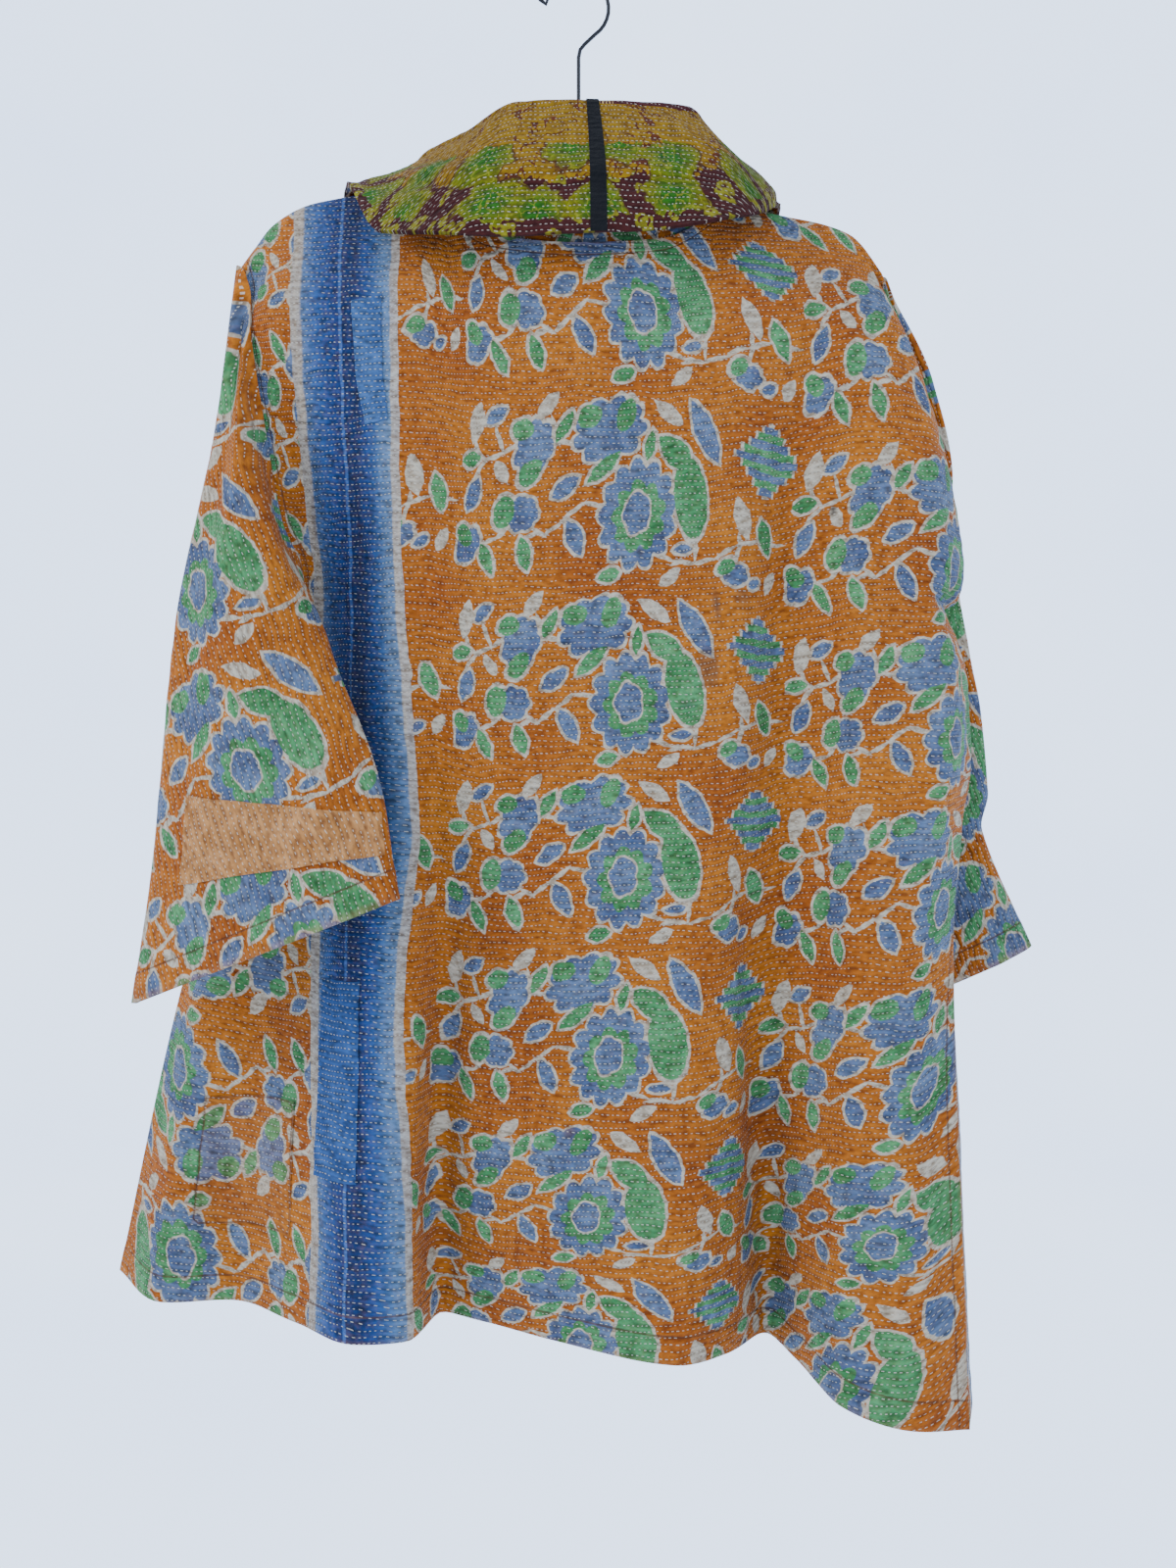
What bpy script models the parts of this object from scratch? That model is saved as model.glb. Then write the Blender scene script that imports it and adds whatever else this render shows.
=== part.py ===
"""Open jacket cut from an old running-stitched quilt, hanging from its hanger, with its back towards -Y.

Metres, +Z up. The origin is the underside of the hanger hook's arch, where it bears on a rail or a wall hook.
-Y is the jacket's back, +Y its front, and -X the wearer's left. Every piece of cloth is a wall worked out from
the middle surface of its quilt, so that pieces which share a seam are made from the same seam line.
"""

import math

import bmesh
import bpy
import numpy as np

# Cloth
QUILT = 0.0022  # two or three layers of old cotton, stitched together
SEAM_GAP = 0.0003
SEAM_STEP = QUILT / 2 + SEAM_GAP  # how far a piece's edge lies from the seam line it shares
PATCH = 0.0008  # a single layer of cotton laid on the quilt

# Hanger
WIRE = 0.0029  # diameter of the hook's wire
HOOK_RADIUS = 0.0236  # middle of the wire
HOOK_CENTRE_Z = -(HOOK_RADIUS - WIRE / 2)
STEM_X = 0.001
STEM_TOP_Z = -0.055
ARM_DEPTH = 0.014  # height of the arm's bar
ARM_THICK = 0.007
BELOW_CLOTH = {"left": 0.0026, "right": 0.0006}  # the arm's top under the shoulder seam, where the front lies on it

# Armholes: their back and front edges, from the shoulder tip down to the underarm
ARMHOLES = {
    "left": {
        "back": [
            (0.00, (-0.2490, -0.0100, -0.2220)),
            (0.02, (-0.2470, -0.0165, -0.2271)),
            (0.10, (-0.2410, -0.0200, -0.2476)),
            (0.25, (-0.2370, -0.0350, -0.2860)),
            (0.50, (-0.2270, -0.0360, -0.3500)),
            (0.75, (-0.2170, -0.0285, -0.4140)),
            (0.90, (-0.2045, -0.0140, -0.4524)),
            (0.98, (-0.2075, -0.0085, -0.4729)),
            (1.00, (-0.2140, -0.0065, -0.4780)),
        ],
        "front": [
            (0.00, (-0.2490, -0.0100, -0.2220)),
            (0.02, (-0.2485, -0.0035, -0.2271)),
            (0.10, (-0.2460, 0.0170, -0.2476)),
            (0.25, (-0.2470, 0.0260, -0.2860)),
            (0.50, (-0.2430, 0.0320, -0.3500)),
            (0.75, (-0.2425, 0.0225, -0.4140)),
            (0.90, (-0.2300, 0.0090, -0.4524)),
            (0.98, (-0.2215, -0.0020, -0.4725)),
            (1.00, (-0.2140, -0.0065, -0.4780)),
        ],
    },
    "right": {
        "back": [
            (0.00, (0.2240, -0.0100, -0.2257)),
            (0.02, (0.2265, -0.0145, -0.2307)),
            (0.10, (0.2340, -0.0090, -0.2509)),
            (0.25, (0.2490, -0.0020, -0.2888)),
            (0.50, (0.2690, -0.0010, -0.3518)),
            (0.75, (0.2755, 0.0015, -0.4150)),
            (0.90, (0.2770, 0.0050, -0.4528)),
            (0.98, (0.2725, 0.0140, -0.4730)),
            (1.00, (0.2605, 0.0200, -0.4765)),
        ],
        "front": [
            (0.00, (0.2240, -0.0100, -0.2257)),
            (0.02, (0.2229, -0.0040, -0.2307)),
            (0.10, (0.2250, 0.0195, -0.2509)),
            (0.25, (0.2360, 0.0260, -0.2888)),
            (0.50, (0.2500, 0.0360, -0.3518)),
            (0.75, (0.2515, 0.0350, -0.4150)),
            (0.90, (0.2425, 0.0395, -0.4528)),
            (0.98, (0.2550, 0.0215, -0.4730)),
            (1.00, (0.2605, 0.0200, -0.4765)),
        ],
    },
}
UNDERARM_V = 0.34  # share of the jacket's length, from the top edge to the hem

# Side seams, from the underarm to the hem: share of the length, then the point
SIDE_SEAMS = {
    "left": [
        (UNDERARM_V, ARMHOLES["left"]["back"][-1][1]),
        (0.50, (-0.255, 0.010, -0.600)),
        (0.75, (-0.308, 0.018, -0.787)),
        (1.00, (-0.3473, 0.015, -0.975)),
    ],
    "right": [
        (UNDERARM_V, ARMHOLES["right"]["back"][-1][1]),
        (0.40, (0.2800, 0.008, -0.530)),
        (0.46, (0.2830, -0.006, -0.588)),
        (0.53, (0.2740, -0.026, -0.645)),
        (0.75, (0.2625, -0.078, -0.815)),
        (1.00, (0.2600, -0.118, -1.032)),
    ],
}

# Shoulder seams, from the armhole to the neck
SHOULDERS = {
    "left": [
        (0.00, ARMHOLES["left"]["back"][0][1]),
        (0.12, (-0.2380, -0.010, -0.207)),
        (0.28, (-0.2254, -0.010, -0.191)),
        (0.50, (-0.1997, -0.010, -0.176)),
        (0.68, (-0.1777, -0.010, -0.171)),
        (1.00, (-0.112, -0.010, -0.160)),
    ],
    "right": [
        (0.00, ARMHOLES["right"]["back"][0][1]),
        (0.12, (0.2140, -0.010, -0.211)),
        (0.26, (0.204, -0.010, -0.199)),
        (0.44, (0.1819, -0.010, -0.190)),
        (0.70, (0.1489, -0.010, -0.183)),
        (1.00, (0.110, -0.010, -0.172)),
    ],
}
# How far the front piece is held up by the hanger's arm, below the shoulder seam
OVER_ARM = [(0.0, 0.0), (0.010, 0.0115), (0.027, 0.0245), (0.052, 0.0230), (0.09, 0.0100), (0.13, 0.0)]

# Neck line, from the left front edge round the back to the right front edge
NECK_LEFT, NECK_RIGHT = 0.27, 0.75
NECK = [
    (0.00, (-0.006, 0.052, -0.290)),
    (0.14, (-0.075, 0.043, -0.235)),
    (0.225, (-0.108, 0.012, -0.168)),
    (0.245, (-0.1115, 0.002, -0.157)),
    (NECK_LEFT, (-0.112, -0.010, -0.160)),
    (0.40, (-0.062, -0.040, -0.209)),
    (0.52, (0.000, -0.045, -0.217)),
    (0.64, (0.062, -0.040, -0.212)),
    (NECK_RIGHT, (0.110, -0.010, -0.172)),
    (0.775, (0.1095, 0.002, -0.169)),
    (0.795, (0.106, 0.012, -0.180)),
    (0.87, (0.075, 0.043, -0.243)),
    (1.00, (0.006, 0.052, -0.296)),
]

# The back piece: across it from the left seam to the right one, the folds at four heights as x and y
BACK_NECK = (0.35, 0.655)  # where the neck line starts and ends across the top edge
BACK_SHOULDER = {"left": 0.0, "right": 1.0}
BACK_LINES = {
    0.12: [
        (0.00, (-0.2340, -0.036)),
        (0.13, (-0.2130, -0.040)),
        (0.26, (-0.1650, -0.041)),
        (0.35, (-0.1150, -0.043)),
        (0.54, (0.0120, -0.046)),
        (0.65, (0.1080, -0.044)),
        (0.72, (0.1780, -0.036)),
        (0.81, (0.2180, -0.036)),
        (0.90, (0.2400, -0.026)),
        (1.00, (0.2490, 0.000)),
    ],
    0.35: [
        (0.00, (-0.2160, -0.004)),
        (0.06, (-0.2010, -0.006)),
        (0.13, (-0.1820, -0.010)),
        (0.20, (-0.1600, -0.020)),
        (0.26, (-0.1410, -0.036)),
        (0.31, (-0.1240, -0.047)),
        (0.35, (-0.1050, -0.046)),
        (0.48, (-0.0220, -0.050)),
        (0.60, (0.0680, -0.052)),
        (0.65, (0.1100, -0.047)),
        (0.72, (0.1550, -0.027)),
        (0.76, (0.1780, -0.034)),
        (0.81, (0.2030, -0.050)),
        (0.90, (0.2500, -0.050)),
        (0.95, (0.2700, -0.018)),
        (0.98, (0.2760, 0.004)),
        (1.00, (0.2660, 0.025)),
    ],
    0.75: [
        (0.00, (-0.3080, 0.018)),
        (0.06, (-0.2800, -0.010)),
        (0.13, (-0.2400, -0.012)),
        (0.20, (-0.1920, -0.036)),
        (0.26, (-0.1530, -0.062)),
        (0.31, (-0.1190, -0.060)),
        (0.35, (-0.0974, -0.034)),
        (0.41, (-0.0650, -0.044)),
        (0.48, (-0.0220, -0.058)),
        (0.60, (0.0710, -0.072)),
        (0.65, (0.1064, -0.058)),
        (0.72, (0.1430, -0.030)),
        (0.76, (0.1668, -0.050)),
        (0.81, (0.1920, -0.080)),
        (0.90, (0.2270, -0.090)),
        (1.00, (0.2625, -0.078)),
    ],
    1.00: [
        (0.00, (-0.3473, 0.015)),
        (0.06, (-0.3023, -0.030)),
        (0.13, (-0.2523, -0.018)),
        (0.20, (-0.1973, -0.055)),
        (0.26, (-0.1523, -0.088)),
        (0.31, (-0.1173, -0.080)),
        (0.35, (-0.0973, -0.028)),
        (0.41, (-0.0643, -0.040)),
        (0.48, (-0.0203, -0.064)),
        (0.60, (0.0677, -0.096)),
        (0.65, (0.1027, -0.072)),
        (0.72, (0.1397, -0.025)),
        (0.76, (0.1577, -0.060)),
        (0.81, (0.1777, -0.112)),
        (0.90, (0.2177, -0.130)),
        (1.00, (0.2600, -0.118)),
    ],
}
BACK_HEM_Z = [(0.0, -0.975), (0.06, -0.982), (0.5, -0.995), (0.7, -1.005), (0.85, -1.024), (1.0, -1.032)]

# The front pieces: across each from its side seam to its centre front edge
FRONT_NECK = 0.45  # where the shoulder ends and the neck line starts
FRONT_LINES = {
    "left": {
        0.05: [(0.00, (-0.2500, 0.014)), (0.45, (-0.1200, 0.020)), (0.70, (-0.0900, 0.044)), (1.00, (-0.006, 0.053))],
        0.12: [(0.00, (-0.2450, 0.034)), (0.45, (-0.1350, 0.038)), (0.70, (-0.0850, 0.048)), (1.00, (-0.006, 0.054))],
        0.35: [(0.00, (-0.2160, -0.004)), (0.15, (-0.1900, 0.030)), (0.50, (-0.1300, 0.047)), (1.00, (-0.006, 0.054))],
        0.75: [
            (0.00, (-0.3080, 0.018)),
            (0.15, (-0.2680, 0.046)),
            (0.35, (-0.2050, 0.044)),
            (0.55, (-0.1350, 0.062)),
            (0.75, (-0.0700, 0.048)),
            (1.00, (-0.006, 0.058)),
        ],
        1.00: [
            (0.00, (-0.3473, 0.015)),
            (0.15, (-0.2980, 0.056)),
            (0.35, (-0.2200, 0.044)),
            (0.55, (-0.1450, 0.076)),
            (0.75, (-0.0750, 0.046)),
            (1.00, (-0.006, 0.066)),
        ],
    },
    "right": {
        0.05: [(0.00, (0.2290, 0.014)), (0.45, (0.1180, 0.020)), (0.70, (0.0900, 0.042)), (1.00, (0.006, 0.053))],
        0.12: [(0.00, (0.2400, 0.036)), (0.45, (0.1350, 0.034)), (0.70, (0.0850, 0.044)), (1.00, (0.006, 0.054))],
        0.35: [
            (0.00, (0.2660, 0.025)),
            (0.15, (0.2330, 0.022)),
            (0.35, (0.1800, 0.022)),
            (0.60, (0.1100, 0.036)),
            (1.00, (0.006, 0.054)),
        ],
        0.75: [
            (0.00, (0.2625, -0.078)),
            (0.08, (0.2710, -0.046)),
            (0.20, (0.2550, -0.004)),
            (0.38, (0.1950, 0.014)),
            (0.62, (0.1200, 0.034)),
            (0.82, (0.0580, 0.044)),
            (1.00, (0.006, 0.058)),
        ],
        1.00: [
            (0.00, (0.2600, -0.118)),
            (0.08, (0.2700, -0.084)),
            (0.20, (0.2640, -0.026)),
            (0.38, (0.1980, 0.022)),
            (0.54, (0.1380, 0.046)),
            (0.68, (0.0950, 0.030)),
            (0.84, (0.0480, 0.060)),
            (1.00, (0.006, 0.060)),
        ],
    },
}
FRONT_HEM_Z = {
    "left": [(0.0, -0.975), (0.5, -0.985), (1.0, -0.985)],
    "right": [(0.0, -1.032), (0.3, -1.010), (1.0, -0.990)],
}

# Sleeves. The cuff is a flat ring: its corner over the arm, its corner under it, and how far its side towards
# the back and its side towards the front bulge. Between the armhole and the cuff the whole sleeve swings away
# from the body, and its fold over the arm and its fold under it leave the straight line by so much.
SLEEVES = {
    "left": {
        "off": (-0.0020, -0.0060, 0.0),
        "cuff": {"over": (-0.3155, -0.062, -0.7594), "under": (-0.1200, -0.104, -0.6828), "back": -0.022, "front": 0.021},
        "swing": [(0.00, (0, 0, 0)), (0.20, (0, -0.0275, -0.006)), (0.50, (0, -0.0265, 0)), (1.00, (0, 0, 0))],
        "over": [(0.00, (0, 0, 0)), (0.20, (0.010, 0, 0)), (0.50, (0.003, 0, 0)), (0.80, (0.007, 0, 0)), (1.00, (0.004, 0, 0))],
        "under": [(0.00, (0, 0, 0)), (0.20, (0.020, 0.001, 0.003)), (0.50, (0.024, 0.002, 0)), (1.00, (0, 0, 0))],
    },
    "right": {
        "off": (0.0025, 0.0070, 0.0),
        "cuff": {"over": (0.3570, 0.052, -0.7330), "under": (0.1960, 0.060, -0.8020), "back": -0.021, "front": 0.022},
        "swing": [(0.00, (0, 0, 0)), (0.20, (0, 0.0125, 0.006)), (0.55, (0, 0.0315, 0)), (1.00, (0, 0, 0))],
        "over": [
            (0.00, (0, 0, 0)),
            (0.15, (0.022, 0, 0)),
            (0.25, (0.026, 0, 0)),
            (0.38, (0.015, 0, 0)),
            (0.60, (0.012, 0, 0)),
            (0.76, (0.000, 0, 0)),
            (0.82, (-0.013, 0, 0)),
            (1.00, (0, 0, 0)),
        ],
        "under": [
            (0.00, (0, 0, 0)),
            (0.15, (0.002, 0.0315, -0.016)),
            (0.40, (0.0165, 0.024, 0)),
            (1.00, (0, 0, 0)),
        ],
    },
}

# Collar, along the neck from the left front edge to the right one: its fold and its outer edge
COLLAR_LIFT = 0.0016  # the collar's seam edge above the neck line, and inside it
COLLAR_INSET = 0.0018
COLLAR_ROLL = 0.005  # radius of its fold
COLLAR_BULGE = 0.008
COLLAR_FOLD = [
    (0.00, (-0.012, 0.066, -0.272)),
    (0.14, (-0.086, 0.056, -0.196)),
    (0.27, (-0.118, 0.000, -0.1445)),
    (0.36, (-0.078, -0.034, -0.132)),
    (0.44, (-0.040, -0.041, -0.1145)),
    (0.52, (0.000, -0.043, -0.1145)),
    (0.60, (0.040, -0.041, -0.1145)),
    (0.67, (0.078, -0.034, -0.115)),
    (0.71, (0.098, -0.020, -0.130)),
    (0.75, (0.116, 0.000, -0.1415)),
    (0.87, (0.090, 0.056, -0.202)),
    (1.00, (0.012, 0.066, -0.278)),
]
COLLAR_EDGE = [
    (0.00, (-0.016, 0.082, -0.360)),
    (0.14, (-0.140, 0.070, -0.258)),
    (0.25, (-0.176, 0.002, -0.1615)),
    (0.265, (-0.171, -0.014, -0.1625)),
    (0.28, (-0.163, -0.034, -0.175)),
    (0.32, (-0.140, -0.062, -0.2140)),
    (0.42, (-0.080, -0.072, -0.2220)),
    (0.52, (0.000, -0.072, -0.2210)),
    (0.62, (0.070, -0.070, -0.2150)),
    (0.70, (0.132, -0.055, -0.1990)),
    (0.77, (0.150, 0.002, -0.1735)),
    (0.87, (0.138, 0.070, -0.262)),
    (1.00, (0.016, 0.082, -0.366)),
]
TAPE_AT = (0.531, 0.551)  # the centre back tape's two edges, along the neck

# Patches: the piece each lies on, and its reach across that piece and down it
PATCHES = {
    "patch_blue_low": ("back", (0.205, 0.265), (0.69, 0.88)),
    "patch_blue_high": ("back", (0.260, 0.312), (0.10, 0.23)),
    "patch_orange_low": ("back", (0.070, 0.195), (0.80, 0.94)),
    "patch_sleeve": ("sleeve_left", (0.12, 0.46), (0.71, 0.86)),
}

QUILT_ORANGE = (0.62, 0.27, 0.09)
QUILT_BLUE = (0.09, 0.16, 0.35)
QUILT_YELLOW = (0.45, 0.36, 0.08)
TAPE_BLACK = (0.01, 0.01, 0.012)
WIRE_BLACK = (0.015, 0.015, 0.03)


def through(stops, place):
    """The point at a place on the smooth curve through the stops, which never overshoots them."""
    places = [stop[0] for stop in stops]
    points = [np.array(stop[1], float) for stop in stops]
    place = min(max(place, places[0]), places[-1])
    last = len(stops) - 1
    left = next(k for k in range(last) if place <= places[k + 1])

    def rise(k):
        return (points[k + 1] - points[k]) / (places[k + 1] - places[k])

    def slope(k):
        if k == 0:
            return rise(0)
        if k == last:
            return rise(last - 1)
        before, after = rise(k - 1), rise(k)
        agree = before * after > 0
        return np.where(agree, 2 * before * after / np.where(agree, before + after, 1), 0)

    step = places[left + 1] - places[left]
    t = (place - places[left]) / step
    return (
        points[left] * (1 + 2 * t) * (1 - t) ** 2
        + slope(left) * step * t * (1 - t) ** 2
        + points[left + 1] * t * t * (3 - 2 * t)
        + slope(left + 1) * step * t * t * (t - 1)
    )


def seam(side, v, face):
    """A point on the seam at a side of the body: the armhole's edge, then the side seam, down to the hem."""
    if v < UNDERARM_V:
        return through(ARMHOLES[side][face], v / UNDERARM_V)
    return through(SIDE_SEAMS[side], v)


def share(value, low, high):
    return (value - low) / (high - low)


def pinned(u, inner, left, left_goal, right, right_goal, grip=6):
    """A point inside a piece, drawn over so that the piece's two sides follow their seams."""
    return inner + (1 - u) ** grip * (left_goal - left) + u**grip * (right_goal - right)


def sheet_point(u, v, top, lines, hem_z):
    """A point of a hanging piece: its top edge, then its folds at each height, down to the hem."""
    top_point = top(u)
    stops = [(0.0, top_point[:2])] + [(height, through(line, u)) for height, line in lines.items()]
    x, y = through(stops, v)
    hem = float(through([(a, (z,)) for a, z in hem_z], u)[0])
    return np.array((x, y, top_point[2] + (hem - top_point[2]) * v))


def back_top(u):
    start, end = BACK_NECK
    if u < start:
        return through(SHOULDERS["left"], u / start)
    if u > end:
        return through(SHOULDERS["right"], share(u, 1.0, end))
    return through(NECK, NECK_LEFT + (NECK_RIGHT - NECK_LEFT) * share(u, start, end))


def back_point(u, v):
    """The middle of the back's quilt: u from its left seam to its right one, v from its top edge to its hem."""
    sides = [sheet_point(side, v, back_top, BACK_LINES, BACK_HEM_Z) for side in (0, 1)]
    inner = sheet_point(u, v, back_top, BACK_LINES, BACK_HEM_Z)
    point = pinned(u, inner, sides[0], seam("left", v, "back"), sides[1], seam("right", v, "back"))
    return point + (0, -SEAM_STEP, 0)


def front_top(side, u):
    if u < FRONT_NECK:
        return through(SHOULDERS[side], u / FRONT_NECK)
    place = share(u, FRONT_NECK, 1.0)
    if side == "left":
        return through(NECK, NECK_LEFT * (1 - place))
    return through(NECK, NECK_RIGHT + (1 - NECK_RIGHT) * place)


def front_point(side, u, v):
    """The middle of a front's quilt: u from its side seam to its centre front edge, v down to its hem."""

    def top(place):
        return front_top(side, place)

    lines, hem = FRONT_LINES[side], FRONT_HEM_Z[side]
    edge = sheet_point(0, v, top, lines, hem)
    held = (1 - u) ** 6
    point = sheet_point(u, v, top, lines, hem) + held * (seam(side, v, "front") - edge)
    rise = through([(a, (z,)) for a, z in OVER_ARM], v)[0]
    near_arm = min(1, max(0, (FRONT_NECK + 0.1 - u) / 0.1)) * (1 - (1 - u) ** 20)
    return point + (0, SEAM_STEP, rise * near_arm)


def sleeve_point(side, u, v):
    """The middle of a sleeve's quilt: u round it from the fold over the arm, v from the armhole to the cuff."""
    sleeve, face = SLEEVES[side], "back" if u < 0.5 else "front"
    angle = 2 * math.pi * u
    low = (1 - math.cos(angle)) / 2
    sewn = through(ARMHOLES[side][face], low) + sleeve["off"]
    cuff = sleeve["cuff"]
    ring = np.array(cuff["over"]) * (1 - low) + np.array(cuff["under"]) * low
    ring = ring + (0, cuff[face] * abs(math.sin(angle)), 0)
    folds = through(sleeve["over"], v) * (1 - low) + through(sleeve["under"], v) * low**2
    return sewn * (1 - v) + ring * v + through(sleeve["swing"], v) + folds


def collar_profile(place):
    """The collar's section at a place along the neck, from its seam up the stand, over the fold and down the fall."""
    neck = through(NECK, place)
    inward = -neck * (1, 1, 0) / np.linalg.norm(neck[:2])
    seam_edge = neck + inward * COLLAR_INSET + (0, 0, COLLAR_LIFT)
    fold, edge = through(COLLAR_FOLD, place), through(COLLAR_EDGE, place)
    out = (edge - seam_edge) * (1, 1, 0)
    out /= np.linalg.norm(out)
    up = np.array((0, 0, 1.0))
    centre = fold - up * COLLAR_ROLL
    inner, outer = centre - out * COLLAR_ROLL, centre + out * COLLAR_ROLL
    stand = [seam_edge + (inner - seam_edge) * t for t in (0, 0.35, 0.7, 1)]
    turns = [math.pi * k / 4 for k in (1, 2, 3)]
    roll = [centre - out * COLLAR_ROLL * math.cos(a) + up * COLLAR_ROLL * math.sin(a) for a in turns]
    falls = (0, 0.25, 0.5, 0.75, 1)
    fall = [outer + (edge - outer) * t + out * COLLAR_BULGE * math.sin(math.pi * t) for t in falls]
    return stand + roll + fall


def grid_of(point, across, down):
    """The points of a piece as rows, from its top to its hem."""
    return np.array([[point(u, v) for u in across] for v in down])


def normals_of(grid, closed):
    """Unit normals of a grid of points, by the differences between its neighbours."""
    if closed:
        along = np.roll(grid, -1, axis=1) - np.roll(grid, 1, axis=1)
    else:
        along = np.gradient(grid, axis=1)
    normals = np.cross(along, np.gradient(grid, axis=0))
    return normals / np.linalg.norm(normals, axis=2, keepdims=True)


def material(name, colour, roughness, metallic=0.0):
    made = bpy.data.materials.get(name) or bpy.data.materials.new(name)
    made.use_nodes = True
    shader = made.node_tree.nodes["Principled BSDF"]
    shader.inputs["Base Color"].default_value = (*colour, 1)
    shader.inputs["Roughness"].default_value = roughness
    shader.inputs["Metallic"].default_value = metallic
    return made


def make_object(name, vertices, faces, finish, smooth=True):
    mesh = bpy.data.meshes.new(name)
    mesh.from_pydata([tuple(v) for v in vertices], [], faces)
    shape = bmesh.new()
    shape.from_mesh(mesh)
    bmesh.ops.recalc_face_normals(shape, faces=shape.faces)
    if shape.calc_volume(signed=True) < 0:
        bmesh.ops.reverse_faces(shape, faces=shape.faces)
    shape.to_mesh(mesh)
    shape.free()
    mesh.materials.append(finish)
    made = bpy.data.objects.new(name, mesh)
    bpy.context.scene.collection.objects.link(made)
    if smooth:
        mesh.shade_smooth()
    return made


def wall(name, grid, finish, thick=QUILT, lift=0.0, closed=False, normals=None):
    """A wall of cloth with its middle on the grid, or lifted off it by the same amount all over."""
    if normals is None:
        normals = normals_of(grid, closed)
    rows, columns = grid.shape[:2]
    sides = [grid + normals * (lift + offset) for offset in (thick / 2, -thick / 2)]
    vertices = np.concatenate([side.reshape(-1, 3) for side in sides])
    count = rows * columns

    def at(side, row, column):
        return side * count + row * columns + column % columns

    def split(corners):
        first, second, third, fourth = [at(*corner) for corner in corners]
        return [(first, second, third), (first, third, fourth)]

    spans = columns if closed else columns - 1
    faces = []
    for column in range(spans):
        for row in range(rows - 1):
            around = [(row, column), (row, column + 1), (row + 1, column + 1), (row + 1, column)]
            faces += split([(0, *corner) for corner in around])
            faces += split([(1, *corner) for corner in around])
        for row in (0, rows - 1):
            faces += split([(0, row, column), (1, row, column), (1, row, column + 1), (0, row, column + 1)])
    if not closed:
        for row in range(rows - 1):
            for column in (0, columns - 1):
                faces += split([(0, row, column), (0, row + 1, column), (1, row + 1, column), (1, row, column)])
    return make_object(name, vertices, faces, finish)


def spread(count, low=0.0, high=1.0, power=1.0):
    """Places from low to high, closer together at the low end where power is over 1."""
    return [low + (high - low) * (k / (count - 1)) ** power for k in range(count)]


# Where each piece's points lie across it, or round it, and down it
BACK_GRID = (spread(43), spread(22, power=1.35))
FRONT_GRID = (spread(19), spread(20, power=1.6))
SLEEVE_GRID = (spread(25)[:-1], spread(15))


def grid_and_normals(piece):
    """The points of the back or of the left sleeve, and their normals."""
    if piece == "back":
        grid = grid_of(back_point, *BACK_GRID)
        return grid, normals_of(grid, False)

    def point(u, v):
        return sleeve_point("left", u, v)

    grid = grid_of(point, *SLEEVE_GRID)
    return grid, normals_of(grid, True)


def make_back(finish):
    return wall("back", grid_of(back_point, *BACK_GRID), finish)


def make_front(side, finish):
    def point(u, v):
        return front_point(side, u, v)

    return wall(f"front_{side}", grid_of(point, *FRONT_GRID), finish)


def make_sleeve(side, finish):
    def point(u, v):
        return sleeve_point(side, u, v)

    return wall(f"sleeve_{side}", grid_of(point, *SLEEVE_GRID), finish, closed=True)


def make_collar(finish):
    grid = np.array([collar_profile(place) for place in spread(33)])
    return wall("collar", grid.transpose(1, 0, 2), finish)


def make_tape(finish):
    """The black tape over the join at the collar's centre back, from just inside the fold to the fall's edge."""
    start, end = TAPE_AT
    sections = [collar_profile(place)[3:] for place in spread(3, start, end)]
    lift = QUILT / 2 + SEAM_GAP + PATCH / 2
    return wall("collar_tape", np.array(sections).transpose(1, 0, 2), finish, PATCH, -lift)


def make_patch(name, finish):
    """A skin on the points of the piece it mends, moved out from them."""
    piece, across, down = PATCHES[name]
    grid, normals = grid_and_normals(piece)
    places = BACK_GRID if piece == "back" else SLEEVE_GRID
    columns = [k for k, u in enumerate(places[0]) if across[0] < u < across[1]]
    rows = [k for k, v in enumerate(places[1]) if down[0] < v < down[1]]
    cut = np.ix_(rows, columns)
    return wall(name, grid[cut], finish, PATCH, -QUILT / 2 - SEAM_GAP - PATCH / 2, normals=normals[cut])


def make_hook(finish):
    """The hanger's hook: a round arch, its end turned out a little, and a stem down to the arms."""
    turns = [math.radians(a) for a in range(172, -61, -12)]
    arch = [(HOOK_RADIUS * math.cos(a), HOOK_CENTRE_Z + HOOK_RADIUS * math.sin(a)) for a in turns]
    tip = [(-0.0285, -0.0150), (-0.0262, -0.0165)]
    stem = [(0.0055, -0.0490), (0.0022, -0.0530), (STEM_X, -0.0590), (STEM_X, -0.1050), (STEM_X, -0.1536)]
    curve = bpy.data.curves.new("hanger_hook", "CURVE")
    curve.dimensions = "3D"
    curve.bevel_depth = WIRE / 2
    curve.bevel_resolution = 2
    curve.use_fill_caps = True
    line = curve.splines.new("POLY")
    route = tip + arch + stem
    line.points.add(len(route) - 1)
    for point, (x, z) in zip(line.points, route):
        point.co = (x, 0, z, 1)
    made = bpy.data.objects.new("hanger_hook", curve)
    curve.materials.append(finish)
    bpy.context.scene.collection.objects.link(made)
    return made


def arm_top(x):
    """The top of the hanger's arms: just under the cloth of the shoulder that lies on them."""
    side = "left" if x < 0 else "right"
    reach = [(abs(p[0]), p[2]) for _, p in SHOULDERS[side]]
    reach.sort()
    bridge = [(0.0, -0.154), (0.06, -0.158)]
    stops = [(a, (z,)) for a, z in bridge] + [(a, (z - BELOW_CLOTH[side],)) for a, z in reach]
    return float(through(stops, abs(x))[0])


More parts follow.
